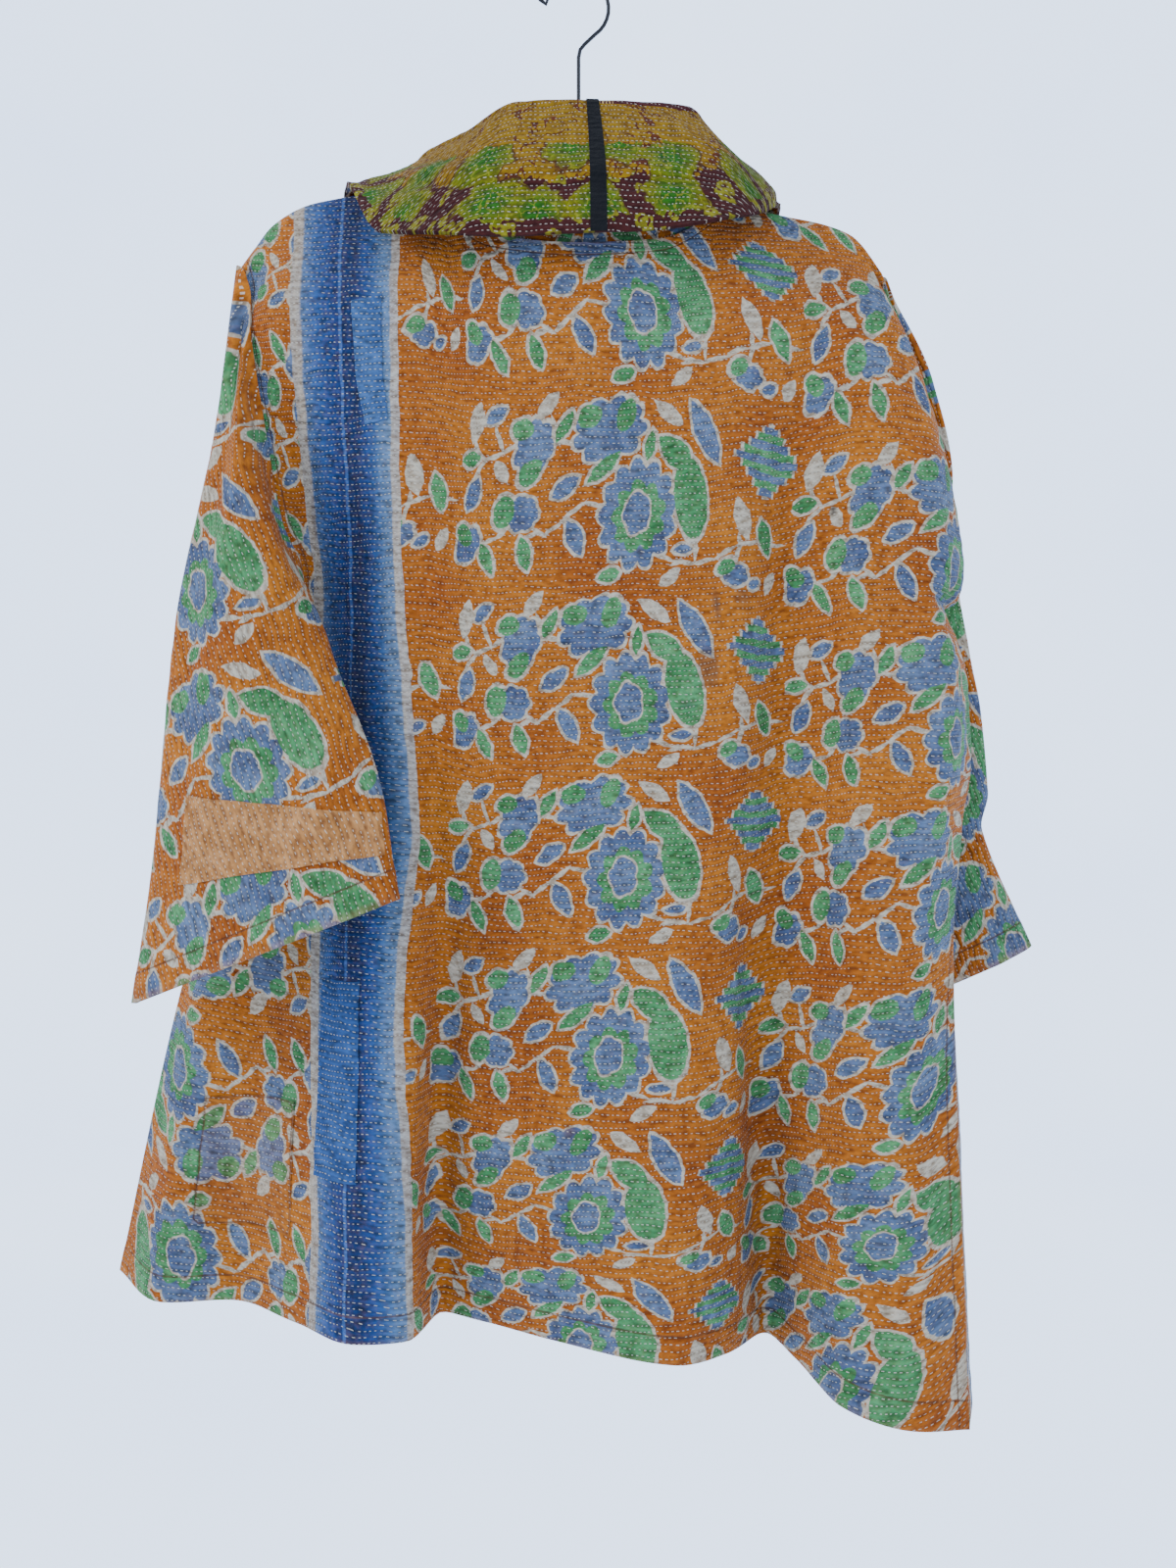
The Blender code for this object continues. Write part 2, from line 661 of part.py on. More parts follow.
def make_arms(finish):
    """The hanger's arms: one curved bar across the shoulders, rounded at its ends."""
    places = spread(25, -0.228, 0.206)
    rings = []
    for x in places:
        near_end = min(x - places[0], places[-1] - x) / 0.012
        size = math.sqrt(max(0.0, 1 - (1 - min(1, near_end)) ** 2)) * 0.7 + 0.3
        top = arm_top(x)
        for k in range(8):
            a = 2 * math.pi * k / 8
            rings.append((x, ARM_THICK / 2 * size * math.cos(a), top - ARM_DEPTH / 2 * (1 - size * math.sin(a))))
    faces = [list(range(8)), list(range(len(rings) - 8, len(rings)))[::-1]]
    for ring in range(len(places) - 1):
        for k in range(8):
            a, b = ring * 8 + k, ring * 8 + (k + 1) % 8
            faces.append([a, b, b + 8, a + 8])
    return make_object("hanger_arms", rings, faces, finish)


def main():
    for old in list(bpy.data.objects):
        bpy.data.objects.remove(old)
    orange = material("quilt_orange", QUILT_ORANGE, 0.9)
    blue = material("quilt_blue", QUILT_BLUE, 0.9)
    yellow = material("quilt_yellow", QUILT_YELLOW, 0.9)
    black = material("cotton_tape", TAPE_BLACK, 0.95)
    wire = material("black_wire", WIRE_BLACK, 0.35, 0.6)
    make_back(orange)
    for side in ("left", "right"):
        make_front(side, orange)
        make_sleeve(side, orange)
    make_collar(yellow)
    make_tape(black)
    for name in PATCHES:
        make_patch(name, blue if "blue" in name else orange)
    make_hook(wire)
    make_arms(wire)


main()
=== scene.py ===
# %% [markdown]
# The jacket on its hanger. The real one was cut from an old quilt of printed cotton: two or three layers held
# together by rows of white running stitches. It hangs from a black wire hook with its back towards us.
# We load the fixed frame first, because every piece of cloth we make has to hang where its solid hangs.

# %% Load the frame
import math

import bmesh
import bpy
import numpy as np
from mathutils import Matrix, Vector, noise


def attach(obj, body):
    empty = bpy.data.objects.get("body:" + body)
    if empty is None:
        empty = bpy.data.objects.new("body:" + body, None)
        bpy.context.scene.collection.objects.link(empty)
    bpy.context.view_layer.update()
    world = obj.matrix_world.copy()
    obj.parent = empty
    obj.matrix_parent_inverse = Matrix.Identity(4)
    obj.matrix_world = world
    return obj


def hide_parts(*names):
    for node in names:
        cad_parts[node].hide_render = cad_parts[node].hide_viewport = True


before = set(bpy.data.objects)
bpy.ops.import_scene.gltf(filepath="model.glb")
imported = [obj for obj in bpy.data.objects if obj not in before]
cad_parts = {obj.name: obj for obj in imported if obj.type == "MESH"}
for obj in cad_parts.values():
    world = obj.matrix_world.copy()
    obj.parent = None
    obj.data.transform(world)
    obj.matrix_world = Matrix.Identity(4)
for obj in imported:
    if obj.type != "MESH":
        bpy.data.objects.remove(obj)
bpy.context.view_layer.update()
bpy.ops.object.select_all(action="DESELECT")

# %% [markdown]
# A studio. The real jacket hangs near a pale wall. A round sweep, a floor that curves up into a wall all round,
# gives the same plain ground from every side, and it stays well behind the camera wherever the camera goes.

# %% Colours
def linear(code):
    """A colour as the shader wants it, from the sRGB code that a paint chart would give."""
    parts = [int(code[k : k + 2], 16) / 255 for k in (0, 2, 4)]
    return (*[c / 12.92 if c <= 0.04045 else ((c + 0.055) / 1.055) ** 2.4 for c in parts], 1.0)


def add(tree, kind, inputs=None, **settings):
    """Adds a shader node: its settings, then each input from a value, an output or a node's first output."""
    made = tree.nodes.new("ShaderNode" + kind)
    for name, value in settings.items():
        setattr(made, name, value)
    for key, value in (inputs or {}).items():
        if isinstance(value, bpy.types.Node):
            value = value.outputs[0]
        if isinstance(value, bpy.types.NodeSocket):
            tree.links.new(value, made.inputs[key])
        else:
            made.inputs[key].default_value = value
    return made


def new_material(name, **sockets):
    made = bpy.data.materials.new(name)
    made.use_nodes = True
    shader = made.node_tree.nodes["Principled BSDF"]
    for key, value in sockets.items():
        shader.inputs[key.replace("_", " ")].default_value = value
    return made, made.node_tree, shader


# %% Floor and sweep
bpy.ops.mesh.primitive_circle_add(vertices=96, radius=2.0, fill_type="NGON", location=(0, 0, -1.36))
sweep = bpy.context.object
sweep.name = "studio_sweep"
bpy.ops.object.mode_set(mode="EDIT")
bpy.ops.mesh.select_all(action="SELECT")
bpy.ops.mesh.select_mode(type="EDGE")
bpy.ops.mesh.region_to_loop()
for grow, lift in ((0.25, 0.03), (0.22, 0.1), (0.16, 0.17), (0.1, 0.24), (0.03, 0.3), (0.0, 3.4)):
    bpy.ops.mesh.extrude_region_move(TRANSFORM_OT_translate={"value": (0, 0, lift)})
    size = 1 + grow / 2.4
    bpy.ops.transform.resize(value=(size, size, 1))
bpy.ops.mesh.select_all(action="SELECT")
bpy.ops.mesh.normals_make_consistent(inside=True)
bpy.ops.object.mode_set(mode="OBJECT")
bpy.ops.object.transform_apply(location=True, rotation=True, scale=True)
bpy.ops.object.shade_smooth()
paper, tree, shader = new_material("studio_paper", Roughness=1.0, Specular_IOR_Level=0.0)
coords = add(tree, "TexCoord")
mottle = add(tree, "TexNoise", {"Vector": coords.outputs["Object"], "Scale": 1.6, "Detail": 3.0})
tint = add(tree, "ValToRGB", {"Fac": mottle.outputs["Fac"]})
tint.color_ramp.elements[0].color = linear("BCD2F8")
tint.color_ramp.elements[1].color = linear("CCDEFB")
tree.links.new(tint.outputs["Color"], shader.inputs["Emission Color"])
shader.inputs["Base Color"].default_value = (0.0, 0.0, 0.0, 1.0)  # light that reaches the paper ends there
shader.inputs["Emission Strength"].default_value = 3.5  # thin paper, lit evenly from behind
sweep.data.materials.append(paper)

# %% Camera
CAMERA_AT = (0.0081, -1.0, -0.605)  # a metre behind the jacket, level with its middle
bpy.ops.object.select_all(action="DESELECT")
bpy.ops.object.camera_add(location=CAMERA_AT, rotation=(math.radians(90), 0, 0))
camera = bpy.context.object
camera.name = "photo_camera"
camera.data.lens = 30.54
camera.data.clip_start = 0.02
bpy.context.scene.camera = camera

# %% Light
for name, place, aim, size, watts in (
    ("key_light", (-1.55, -0.85, 0.45), (0.0, 0.0, -0.55), 0.8, 30),
    ("fill_light", (1.35, -1.2, -0.15), (0.05, 0.0, -0.6), 1.4, 6),
    ("top_light", (0.1, 0.35, 1.0), (0.0, 0.1, -0.5), 1.2, 9),
    ("back_light", (0.6, 1.5, 0.3), (0.0, 0.0, -0.6), 1.2, 12),
):
    bpy.ops.object.light_add(type="AREA", location=place)
    lamp = bpy.context.object
    lamp.name = name
    lamp.data.size = size
    lamp.data.energy = watts
    lamp.rotation_euler = (Vector(aim) - Vector(place)).to_track_quat("-Z", "Y").to_euler()
world = bpy.data.worlds.new("studio_air")
bpy.context.scene.world = world
world.use_nodes = True
world.node_tree.nodes["Background"].inputs["Color"].default_value = linear("E9EEF6")
world.node_tree.nodes["Background"].inputs["Strength"].default_value = 0.25

# %% [markdown]
# The cut of the jacket. These are the seams and folds that its solids were made from, in metres: the armholes,
# the side seams, the shoulders, the neck and the folds of each hanging piece. A maker would call them the
# pattern. The cloth that we show is worked out again from the same lines, only with many more points.

# %% Cloth, armholes and side seams
QUILT = 0.0022
SEAM_GAP = 0.0003
SEAM_STEP = QUILT / 2 + SEAM_GAP
PATCH = 0.0008
ARMHOLES = {
    "left": {
        "back": [
            (0.00, (-0.2490, -0.0100, -0.2220)), (0.02, (-0.2470, -0.0165, -0.2271)),
            (0.10, (-0.2410, -0.0200, -0.2476)), (0.25, (-0.2370, -0.0350, -0.2860)),
            (0.50, (-0.2270, -0.0360, -0.3500)), (0.75, (-0.2170, -0.0285, -0.4140)),
            (0.90, (-0.2045, -0.0140, -0.4524)), (0.98, (-0.2075, -0.0085, -0.4729)),
            (1.00, (-0.2140, -0.0065, -0.4780)),
        ],
        "front": [
            (0.00, (-0.2490, -0.0100, -0.2220)), (0.02, (-0.2485, -0.0035, -0.2271)),
            (0.10, (-0.2460, 0.0170, -0.2476)), (0.25, (-0.2470, 0.0260, -0.2860)),
            (0.50, (-0.2430, 0.0320, -0.3500)), (0.75, (-0.2425, 0.0225, -0.4140)),
            (0.90, (-0.2300, 0.0090, -0.4524)), (0.98, (-0.2215, -0.0020, -0.4725)),
            (1.00, (-0.2140, -0.0065, -0.4780)),
        ],
    },
    "right": {
        "back": [
            (0.00, (0.2240, -0.0100, -0.2257)), (0.02, (0.2265, -0.0145, -0.2307)),
            (0.10, (0.2340, -0.0090, -0.2509)), (0.25, (0.2490, -0.0020, -0.2888)),
            (0.50, (0.2690, -0.0010, -0.3518)), (0.75, (0.2755, 0.0015, -0.4150)),
            (0.90, (0.2770, 0.0050, -0.4528)), (0.98, (0.2725, 0.0140, -0.4730)),
            (1.00, (0.2605, 0.0200, -0.4765)),
        ],
        "front": [
            (0.00, (0.2240, -0.0100, -0.2257)), (0.02, (0.2229, -0.0040, -0.2307)),
            (0.10, (0.2250, 0.0195, -0.2509)), (0.25, (0.2360, 0.0260, -0.2888)),
            (0.50, (0.2500, 0.0360, -0.3518)), (0.75, (0.2515, 0.0350, -0.4150)),
            (0.90, (0.2425, 0.0395, -0.4528)), (0.98, (0.2550, 0.0215, -0.4730)),
            (1.00, (0.2605, 0.0200, -0.4765)),
        ],
    },
}
UNDERARM_V = 0.34  # share of the jacket's length, from the top edge to the hem
SIDE_SEAMS = {
    "left": [
        (UNDERARM_V, ARMHOLES["left"]["back"][-1][1]), (0.50, (-0.255, 0.010, -0.600)),
        (0.75, (-0.308, 0.018, -0.787)), (1.00, (-0.3473, 0.015, -0.975)),
    ],
    "right": [
        (UNDERARM_V, ARMHOLES["right"]["back"][-1][1]), (0.40, (0.2800, 0.008, -0.530)),
        (0.46, (0.2830, -0.006, -0.588)), (0.53, (0.2740, -0.026, -0.645)),
        (0.75, (0.2625, -0.078, -0.815)), (1.00, (0.2600, -0.118, -1.032)),
    ],
}

# %% Shoulders and neck
SHOULDERS = {
    "left": [
        (0.00, ARMHOLES["left"]["back"][0][1]), (0.12, (-0.2380, -0.010, -0.207)),
        (0.28, (-0.2254, -0.010, -0.191)), (0.50, (-0.1997, -0.010, -0.176)),
        (0.68, (-0.1777, -0.010, -0.171)), (1.00, (-0.112, -0.010, -0.160)),
    ],
    "right": [
        (0.00, ARMHOLES["right"]["back"][0][1]), (0.12, (0.2140, -0.010, -0.211)),
        (0.26, (0.204, -0.010, -0.199)), (0.44, (0.1819, -0.010, -0.190)), (0.70, (0.1489, -0.010, -0.183)),
        (1.00, (0.110, -0.010, -0.172)),
    ],
}
# How far the front piece is held up by the hanger's arm, below the shoulder seam
OVER_ARM = [(0.0, 0.0), (0.010, 0.0115), (0.027, 0.0245), (0.052, 0.0230), (0.09, 0.0100), (0.13, 0.0)]
NECK_LEFT, NECK_RIGHT = 0.27, 0.75
NECK = [
    (0.00, (-0.006, 0.052, -0.290)), (0.14, (-0.075, 0.043, -0.235)), (0.225, (-0.108, 0.012, -0.168)),
    (0.245, (-0.1115, 0.002, -0.157)), (NECK_LEFT, (-0.112, -0.010, -0.160)),
    (0.40, (-0.062, -0.040, -0.209)), (0.52, (0.000, -0.045, -0.217)), (0.64, (0.062, -0.040, -0.212)),
    (NECK_RIGHT, (0.110, -0.010, -0.172)), (0.775, (0.1095, 0.002, -0.169)),
    (0.795, (0.106, 0.012, -0.180)), (0.87, (0.075, 0.043, -0.243)), (1.00, (0.006, 0.052, -0.296)),
]

# %% The back's folds at four heights, across it from the left seam
BACK_NECK = (0.35, 0.655)  # where the neck line starts and ends across the top edge
BACK_SHOULDER = {"left": 0.0, "right": 1.0}
BACK_LINES = {
    0.12: [
        (0.00, (-0.2340, -0.036)), (0.13, (-0.2130, -0.040)), (0.26, (-0.1650, -0.041)),
        (0.35, (-0.1150, -0.043)), (0.54, (0.0120, -0.046)), (0.65, (0.1080, -0.044)),
        (0.72, (0.1780, -0.036)), (0.81, (0.2180, -0.036)), (0.90, (0.2400, -0.026)),
        (1.00, (0.2490, 0.000)),
    ],
    0.35: [
        (0.00, (-0.2160, -0.004)), (0.06, (-0.2010, -0.006)), (0.13, (-0.1820, -0.010)),
        (0.20, (-0.1600, -0.020)), (0.26, (-0.1410, -0.036)), (0.31, (-0.1240, -0.047)),
        (0.35, (-0.1050, -0.046)), (0.48, (-0.0220, -0.050)), (0.60, (0.0680, -0.052)),
        (0.65, (0.1100, -0.047)), (0.72, (0.1550, -0.027)), (0.76, (0.1780, -0.034)),
        (0.81, (0.2030, -0.050)), (0.90, (0.2500, -0.050)), (0.95, (0.2700, -0.018)),
        (0.98, (0.2760, 0.004)), (1.00, (0.2660, 0.025)),
    ],
    0.75: [
        (0.00, (-0.3080, 0.018)), (0.06, (-0.2800, -0.010)), (0.13, (-0.2400, -0.012)),
        (0.20, (-0.1920, -0.036)), (0.26, (-0.1530, -0.062)), (0.31, (-0.1190, -0.060)),
        (0.35, (-0.0974, -0.034)), (0.41, (-0.0650, -0.044)), (0.48, (-0.0220, -0.058)),
        (0.60, (0.0710, -0.072)), (0.65, (0.1064, -0.058)), (0.72, (0.1430, -0.030)),
        (0.76, (0.1668, -0.050)), (0.81, (0.1920, -0.080)), (0.90, (0.2270, -0.090)),
        (1.00, (0.2625, -0.078)),
    ],
    1.00: [
        (0.00, (-0.3473, 0.015)), (0.06, (-0.3023, -0.030)), (0.13, (-0.2523, -0.018)),
        (0.20, (-0.1973, -0.055)), (0.26, (-0.1523, -0.088)), (0.31, (-0.1173, -0.080)),
        (0.35, (-0.0973, -0.028)), (0.41, (-0.0643, -0.040)), (0.48, (-0.0203, -0.064)),
        (0.60, (0.0677, -0.096)), (0.65, (0.1027, -0.072)), (0.72, (0.1397, -0.025)),
        (0.76, (0.1577, -0.060)), (0.81, (0.1777, -0.112)), (0.90, (0.2177, -0.130)),
        (1.00, (0.2600, -0.118)),
    ],
}
LEVEL = -0.160  # the height that the cloth's length is measured down from
BACK_HEM_Z = [(0.0, -0.975), (0.06, -0.982), (0.5, -0.995), (0.7, -1.005), (0.85, -1.024), (1.0, -1.032)]

# %% The fronts' folds, across each from its side seam
FRONT_NECK = 0.45  # where the shoulder ends and the neck line starts
FRONT_LINES = {
    "left": {
        0.05: [
            (0.00, (-0.2500, 0.014)), (0.45, (-0.1200, 0.020)), (0.70, (-0.0900, 0.044)),
            (1.00, (-0.006, 0.053)),
        ],
        0.12: [
            (0.00, (-0.2450, 0.034)), (0.45, (-0.1350, 0.038)), (0.70, (-0.0850, 0.048)),
            (1.00, (-0.006, 0.054)),
        ],
        0.35: [
            (0.00, (-0.2160, -0.004)), (0.15, (-0.1900, 0.030)), (0.50, (-0.1300, 0.047)),
            (1.00, (-0.006, 0.054)),
        ],
        0.75: [
            (0.00, (-0.3080, 0.018)), (0.15, (-0.2680, 0.046)), (0.35, (-0.2050, 0.044)),
            (0.55, (-0.1350, 0.062)), (0.75, (-0.0700, 0.048)), (1.00, (-0.006, 0.058)),
        ],
        1.00: [
            (0.00, (-0.3473, 0.015)), (0.15, (-0.2980, 0.056)), (0.35, (-0.2200, 0.044)),
            (0.55, (-0.1450, 0.076)), (0.75, (-0.0750, 0.046)), (1.00, (-0.006, 0.066)),
        ],
    },
    "right": {
        0.05: [
            (0.00, (0.2290, 0.014)), (0.45, (0.1180, 0.020)), (0.70, (0.0900, 0.042)), (1.00, (0.006, 0.053)),
        ],
        0.12: [
            (0.00, (0.2400, 0.036)), (0.45, (0.1350, 0.034)), (0.70, (0.0850, 0.044)), (1.00, (0.006, 0.054)),
        ],
        0.35: [
            (0.00, (0.2660, 0.025)), (0.15, (0.2330, 0.022)), (0.35, (0.1800, 0.022)),
            (0.60, (0.1100, 0.036)), (1.00, (0.006, 0.054)),
        ],
        0.75: [
            (0.00, (0.2625, -0.078)), (0.08, (0.2710, -0.046)), (0.20, (0.2550, -0.004)),
            (0.38, (0.1950, 0.014)), (0.62, (0.1200, 0.034)), (0.82, (0.0580, 0.044)),
            (1.00, (0.006, 0.058)),
        ],
        1.00: [
            (0.00, (0.2600, -0.118)), (0.08, (0.2700, -0.084)), (0.20, (0.2640, -0.026)),
            (0.38, (0.1980, 0.022)), (0.54, (0.1380, 0.046)), (0.68, (0.0950, 0.030)),
            (0.84, (0.0480, 0.060)), (1.00, (0.006, 0.060)),
        ],
    },
}
FRONT_HEM_Z = {
    "left": [(0.0, -0.975), (0.5, -0.985), (1.0, -0.985)],
    "right": [(0.0, -1.032), (0.3, -1.010), (1.0, -0.990)],
}

# %% Sleeves: the flat ring of the cuff, and how each sleeve swings and folds above it
SLEEVES = {
    "left": {
        "off": (-0.0020, -0.0060, 0.0),
        "cuff": {
            "over": (-0.3155, -0.062, -0.7594), "under": (-0.1200, -0.104, -0.6828),
            "back": -0.022, "front": 0.021,
        },
        "swing": [(0.00, (0, 0, 0)), (0.20, (0, -0.0275, -0.006)), (0.50, (0, -0.0265, 0)), (1.00, (0, 0, 0))],
        "over": [
            (0.00, (0, 0, 0)), (0.20, (0.010, 0, 0)), (0.50, (0.003, 0, 0)), (0.80, (0.007, 0, 0)),
            (1.00, (0.004, 0, 0)),
        ],
        "under": [
            (0.00, (0, 0, 0)), (0.20, (0.020, 0.001, 0.003)), (0.50, (0.024, 0.002, 0)), (1.00, (0, 0, 0)),
        ],
    },
    "right": {
        "off": (0.0025, 0.0070, 0.0),
        "cuff": {
            "over": (0.3570, 0.052, -0.7330), "under": (0.1960, 0.060, -0.8020),
            "back": -0.021, "front": 0.022,
        },
        "swing": [(0.00, (0, 0, 0)), (0.20, (0, 0.0125, 0.006)), (0.55, (0, 0.0315, 0)), (1.00, (0, 0, 0))],
        "over": [
            (0.00, (0, 0, 0)), (0.15, (0.022, 0, 0)), (0.25, (0.026, 0, 0)), (0.38, (0.015, 0, 0)),
            (0.60, (0.012, 0, 0)), (0.76, (0.000, 0, 0)), (0.82, (-0.013, 0, 0)), (1.00, (0, 0, 0)),
        ],
        "under": [
            (0.00, (0, 0, 0)), (0.15, (0.002, 0.0315, -0.016)), (0.40, (0.0165, 0.024, 0)),
            (1.00, (0, 0, 0)),
        ],
    },
}

# %% Collar, tape and patches
COLLAR_LIFT = 0.0016  # the collar's seam edge above the neck line, and inside it
COLLAR_INSET = 0.0018
COLLAR_ROLL = 0.005  # radius of its fold
COLLAR_BULGE = 0.008
COLLAR_FOLD = [
    (0.00, (-0.012, 0.066, -0.272)), (0.14, (-0.086, 0.056, -0.196)), (0.27, (-0.118, 0.000, -0.1445)),
    (0.36, (-0.078, -0.034, -0.132)), (0.44, (-0.040, -0.041, -0.1145)), (0.52, (0.000, -0.043, -0.1145)),
    (0.60, (0.040, -0.041, -0.1145)), (0.67, (0.078, -0.034, -0.115)), (0.71, (0.098, -0.020, -0.130)),
    (0.75, (0.116, 0.000, -0.1415)), (0.87, (0.090, 0.056, -0.202)), (1.00, (0.012, 0.066, -0.278)),
]
COLLAR_EDGE = [
    (0.00, (-0.016, 0.082, -0.360)), (0.14, (-0.140, 0.070, -0.258)), (0.25, (-0.176, 0.002, -0.1615)),
    (0.265, (-0.171, -0.014, -0.1625)), (0.28, (-0.163, -0.034, -0.175)), (0.32, (-0.140, -0.062, -0.2140)),
    (0.42, (-0.080, -0.072, -0.2220)), (0.52, (0.000, -0.072, -0.2210)), (0.62, (0.070, -0.070, -0.2150)),
    (0.70, (0.132, -0.055, -0.1990)), (0.77, (0.150, 0.002, -0.1735)), (0.87, (0.138, 0.070, -0.262)),
    (1.00, (0.016, 0.082, -0.366)),
]
TAPE_AT = (0.531, 0.551)  # the centre back tape's two edges, along the neck
PATCHES = {
    "patch_blue_low": ("back", (0.205, 0.265), (0.69, 0.88)),
    "patch_blue_high": ("back", (0.260, 0.312), (0.10, 0.23)),
    "patch_orange_low": ("back", (0.070, 0.195), (0.80, 0.94)),
    "patch_sleeve": ("sleeve_left", (0.12, 0.46), (0.71, 0.86)),
}

# %% [markdown]
# Each piece of cloth is a grid of points on its own smooth surface, rows running from its top edge to its hem.
# A curve through a few stops gives every line. It never swings past a stop, so a fold stays where it is put.

# %% A smooth curve through stops
def through(stops, places):
    """Points at the given places on the smooth curve through the stops."""
    knots = np.array([stop[0] for stop in stops], float)
    points = np.array([stop[1] for stop in stops], float)
    places = np.clip(np.atleast_1d(np.asarray(places, float)), knots[0], knots[-1])
    steps = np.diff(knots)[:, None]
    rise = np.diff(points, axis=0) / steps
    slope = np.vstack([rise[:1], np.zeros_like(rise[1:]), rise[-1:]])
    before, after = rise[:-1], rise[1:]
    agree = before * after > 0
    slope[1:-1] = np.where(agree, 2 * before * after / np.where(agree, before + after, 1), 0)
    k = np.clip(np.searchsorted(knots, places) - 1, 0, len(knots) - 2)
    t = ((places - knots[k]) / steps[k, 0])[:, None]
    return (
        points[k] * (1 + 2 * t) * (1 - t) ** 2
        + slope[k] * steps[k] * t * (1 - t) ** 2
        + points[k + 1] * t * t * (3 - 2 * t)
        + slope[k + 1] * steps[k] * t * t * (t - 1)
    )


def seam(side, down, face):
    """The seam at a side of the body, at each place down it: the armhole's edge, then the side seam."""
    armhole = through(ARMHOLES[side][face], down / UNDERARM_V)
    return np.where((down < UNDERARM_V)[:, None], armhole, through(SIDE_SEAMS[side], down))


def share(value, low, high):
    return (value - low) / (high - low)


def sheet_column(u, down, top, lines, hem_z):
    """One column of a hanging piece: its top edge, then its folds at each height, down to the hem."""
    start = top(u)
    stops = [(0.0, start[:2])] + [(height, through(line, u)[0]) for height, line in lines.items()]
    hem = through([(a, (z,)) for a, z in hem_z], u)[0, 0]
    return np.column_stack([through(stops, down), start[2] + (hem - start[2]) * down])


# %% The back's surface
def back_top(u):
    start, end = BACK_NECK
    if u < start:
        return through(SHOULDERS["left"], u / start)[0]
    if u > end:
        return through(SHOULDERS["right"], share(u, 1.0, end))[0]
    return through(NECK, NECK_LEFT + (NECK_RIGHT - NECK_LEFT) * share(u, start, end))[0]


def back_grid(across, down):
    first, last = [sheet_column(u, down, back_top, BACK_LINES, BACK_HEM_Z) for u in (0, 1)]
    at_left, at_right = seam("left", down, "back") - first, seam("right", down, "back") - last
    columns = []
    for u in across:
        inner = sheet_column(u, down, back_top, BACK_LINES, BACK_HEM_Z)
        columns.append(inner + (1 - u) ** 6 * at_left + u**6 * at_right)
    return np.stack(columns, axis=1) + (0, -SEAM_STEP, 0)


# %% The fronts' surfaces
def front_top(side, u):
    if u < FRONT_NECK:
        return through(SHOULDERS[side], u / FRONT_NECK)[0]
    place = share(u, FRONT_NECK, 1.0)
    if side == "left":
        return through(NECK, NECK_LEFT * (1 - place))[0]
    return through(NECK, NECK_RIGHT + (1 - NECK_RIGHT) * place)[0]


def front_grid(side, across, down):
    lines, hem = FRONT_LINES[side], FRONT_HEM_Z[side]
    edge = sheet_column(0, down, lambda u: front_top(side, u), lines, hem)
    at_seam = seam(side, down, "front") - edge
    rise = through([(a, (z,)) for a, z in OVER_ARM], down)[:, 0]
    columns = []
    for u in across:
        column = sheet_column(u, down, lambda place: front_top(side, place), lines, hem)
        column += (1 - u) ** 6 * at_seam
        column[:, 2] += rise * min(1, max(0, (FRONT_NECK + 0.1 - u) / 0.1)) * (1 - (1 - u) ** 20)
        columns.append(column)
    return np.stack(columns, axis=1) + (0, SEAM_STEP, 0)


# %% The sleeves' surfaces
def sleeve_grid(side, around, down):
    sleeve, cuff = SLEEVES[side], SLEEVES[side]["cuff"]
    swing = through(sleeve["swing"], down)
    over, under = through(sleeve["over"], down), through(sleeve["under"], down)
    columns = []
    for u in around:
        face = "back" if u < 0.5 else "front"
        low = (1 - math.cos(2 * math.pi * u)) / 2
        sewn = through(ARMHOLES[side][face], low)[0] + sleeve["off"]
        ring = np.array(cuff["over"]) * (1 - low) + np.array(cuff["under"]) * low
        ring = ring + (0, cuff[face] * abs(math.sin(2 * math.pi * u)), 0)
        t = down[:, None]
        columns.append(sewn * (1 - t) + ring * t + swing + over * (1 - low) + under * low**2)
    return np.stack(columns, axis=1)


# %% The collar's surface, from its seam up the stand, over the fold and down the fall
STAND_ROWS, ROLL_ROWS, FALL_ROWS = 7, 9, 25
FOLD_ROW = STAND_ROWS + ROLL_ROWS // 2


def collar_section(place):
    neck = through(NECK, place)[0]
    inward = -neck * (1, 1, 0) / np.linalg.norm(neck[:2])
    seam_edge = neck + inward * COLLAR_INSET + (0, 0, COLLAR_LIFT)
    fold, edge = through(COLLAR_FOLD, place)[0], through(COLLAR_EDGE, place)[0]
    out = (edge - seam_edge) * (1, 1, 0)
    out /= np.linalg.norm(out)
    up = np.array((0, 0, 1.0))
    centre = fold - up * COLLAR_ROLL
    inner, outer = centre - out * COLLAR_ROLL, centre + out * COLLAR_ROLL
    stand = [seam_edge + (inner - seam_edge) * t for t in np.linspace(0, 1, STAND_ROWS)]
    turns = np.linspace(0, math.pi, ROLL_ROWS + 2)[1:-1]
    roll = [centre - out * COLLAR_ROLL * math.cos(a) + up * COLLAR_ROLL * math.sin(a) for a in turns]
    falls = np.linspace(0, 1, FALL_ROWS)
    fall = [outer + (edge - outer) * t + out * COLLAR_BULGE * math.sin(math.pi * t) for t in falls]
    return np.array(stand + roll + fall)


# %% [markdown]
# Folds and puckers. A crease is a soft trough or ridge along a line on the hanging cloth, given as it is seen
# from behind: x and z in metres, its half width, and how far it goes in or out. Between the rows of stitches
# the quilt puckers into small ripples, longer across than down, and they are what makes it look hand sewn.

# %% Creases and ripples
def normals_of(grid, closed):
    if closed:
        along = np.roll(grid, -1, axis=1) - np.roll(grid, 1, axis=1)
    else:
        along = np.gradient(grid, axis=1)
    normals = np.cross(along, np.gradient(grid, axis=0))
    return normals / np.linalg.norm(normals, axis=2, keepdims=True)


